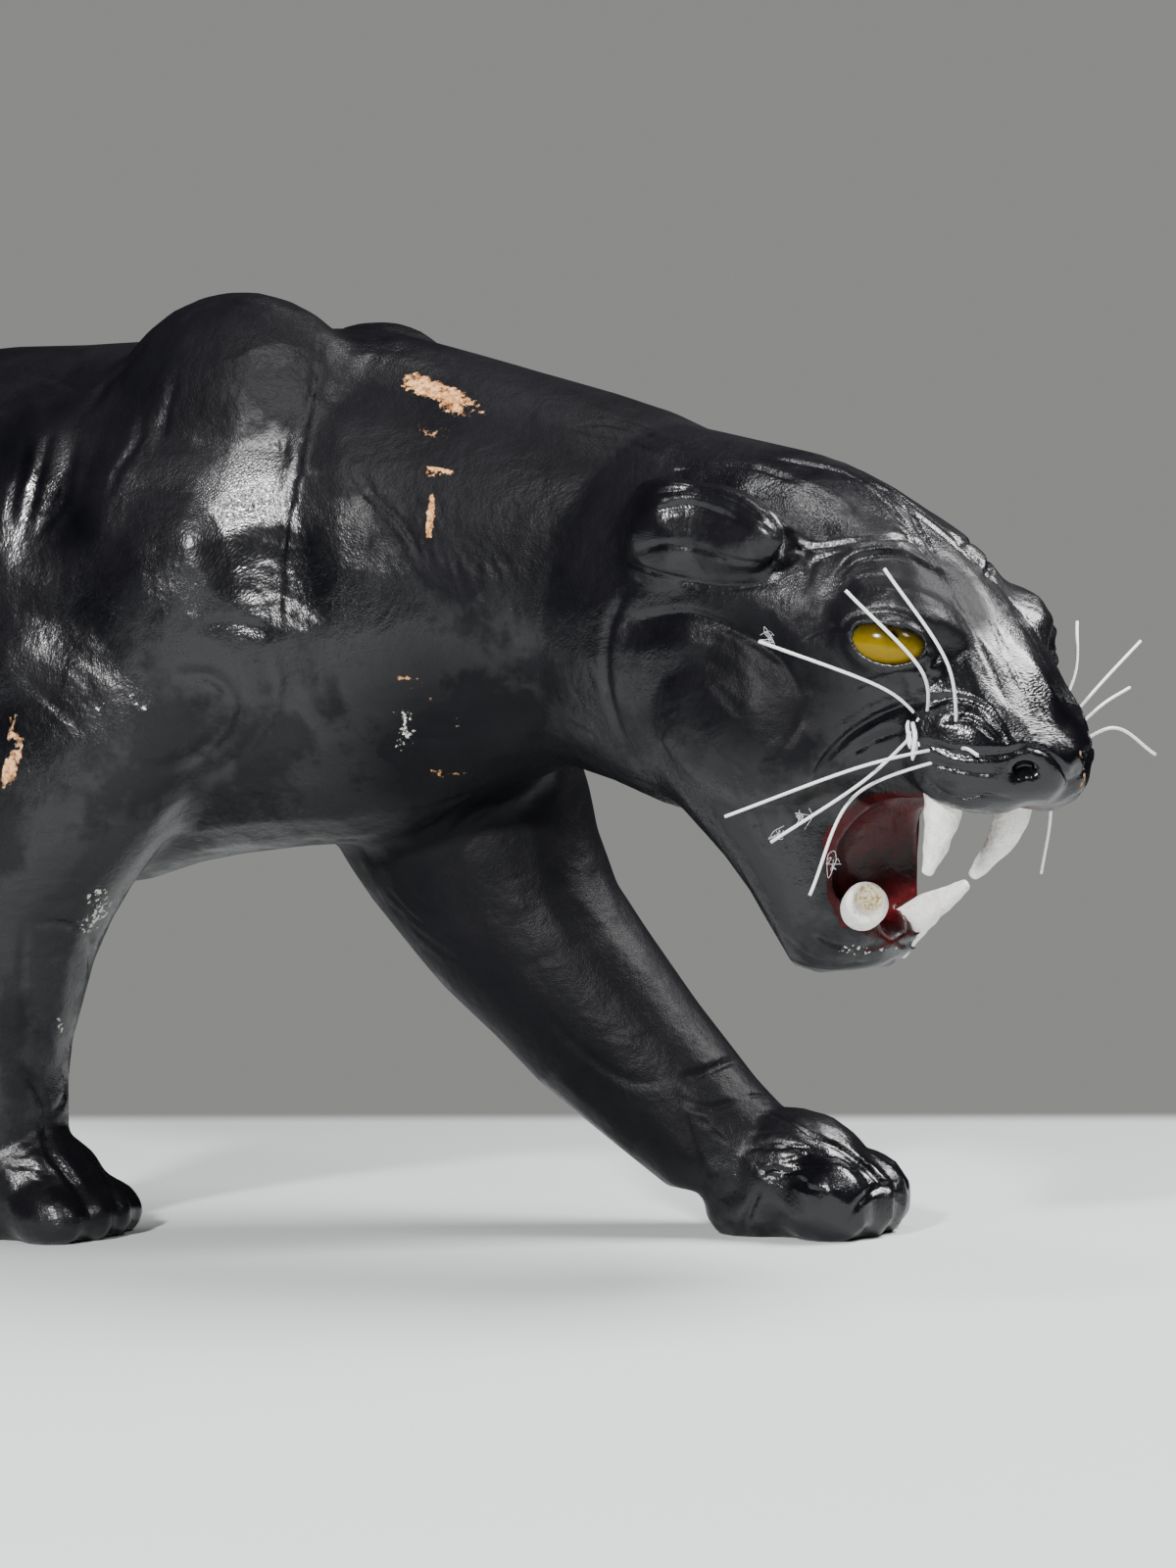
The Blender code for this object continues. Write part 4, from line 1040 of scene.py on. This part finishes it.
for place in LINT:
    for _ in range(3):
        corners = [np.array(place) + chance.normal(0.0, 0.0022, 3) for _ in range(6)]
        rows = eased(corners, 0.0008)
        add_tube(bm, rows, [0.00008] * len(rows), 4, HEAD)
add_object("bristle_lint", bm, bristle, None)


# Floor and lights
# A plain pale sheet on the ground, which fades out behind the figure into a plain grey, and
# soft lamps: two broad ones from the right and above, and two small ones for the glints.
FLOOR_RADIUS = 3.2


def lamp(name, azimuth, rise, away, size, watts, aim=(0.25, 0.0, 0.30)):
    """A soft rectangular lamp, placed by its bearing and its height over the aim, in degrees."""
    light = bpy.data.lights.new(name, "AREA")
    light.shape = "RECTANGLE"
    (light.size, light.size_y), light.energy = size, watts
    a, e = math.radians(azimuth), math.radians(rise)
    back = Vector((math.sin(a) * math.cos(e), -math.cos(a) * math.cos(e), math.sin(e)))
    obj = bpy.data.objects.new(name, light)
    bpy.context.scene.collection.objects.link(obj)
    turn = (-back).to_track_quat("-Z", "Y").to_matrix().to_4x4()
    obj.matrix_world = Matrix.Translation(Vector(aim) + back * away) @ turn


lamp("lamp_window", 4, 26, 2.4, (0.22, 0.26), 100)
lamp("lamp_right", 118, 46, 2.2, (1.20, 0.70), 105)
lamp("lamp_ceiling", 75, 84, 2.2, (0.5, 0.5), 16)
lamp("lamp_front", 58, 42, 2.0, (0.30, 0.30), 14, (0.62, 0.0, 0.28))

floor_mesh = bpy.data.meshes.new("floor")
bm = bmesh.new()
bmesh.ops.create_circle(bm, cap_ends=True, segments=128, radius=FLOOR_RADIUS)
bm.to_mesh(floor_mesh)
bm.free()
floor = bpy.data.objects.new("floor", floor_mesh)
bpy.context.scene.collection.objects.link(floor)
FLOOR_TURN = math.radians(11)
FLOOR_AHEAD = (-math.sin(FLOOR_TURN), math.cos(FLOOR_TURN), 0.0)
FLOOR_END = (2.25, 2.33)
paper = Finish("pale_floor")
spot = paper.node("TexCoord", {}, {}, "Object")
offset = paper.node("VectorMath", {"operation": "SUBTRACT"}, {0: spot, 1: tuple(CAMERA_AT)})
ahead = paper.node("VectorMath", {"operation": "DOT_PRODUCT"}, {0: offset, 1: tuple(FLOOR_AHEAD)}, "Value")
shown = 1 - step_of(paper, ahead, *FLOOR_END)
paper.surface(Base_Color=(0.565, 0.585, 0.585, 1.0), Roughness=0.8, Alpha=shown)
paper.dress(floor)

world = bpy.data.worlds.new("studio")
world.use_nodes = True
tree = world.node_tree
background = tree.nodes["Background"]
path = tree.nodes.new("ShaderNodeLightPath")
mix = tree.nodes.new("ShaderNodeMix")
mix.data_type = "RGBA"
mix.inputs["A"].default_value = (0.020, 0.020, 0.022, 1.0)
mix.inputs["B"].default_value = (0.27, 0.27, 0.265, 1.0)
tree.links.new(path.outputs["Is Camera Ray"], mix.inputs["Factor"])
tree.links.new(mix.outputs["Result"], background.inputs["Color"])
bpy.context.scene.world = world
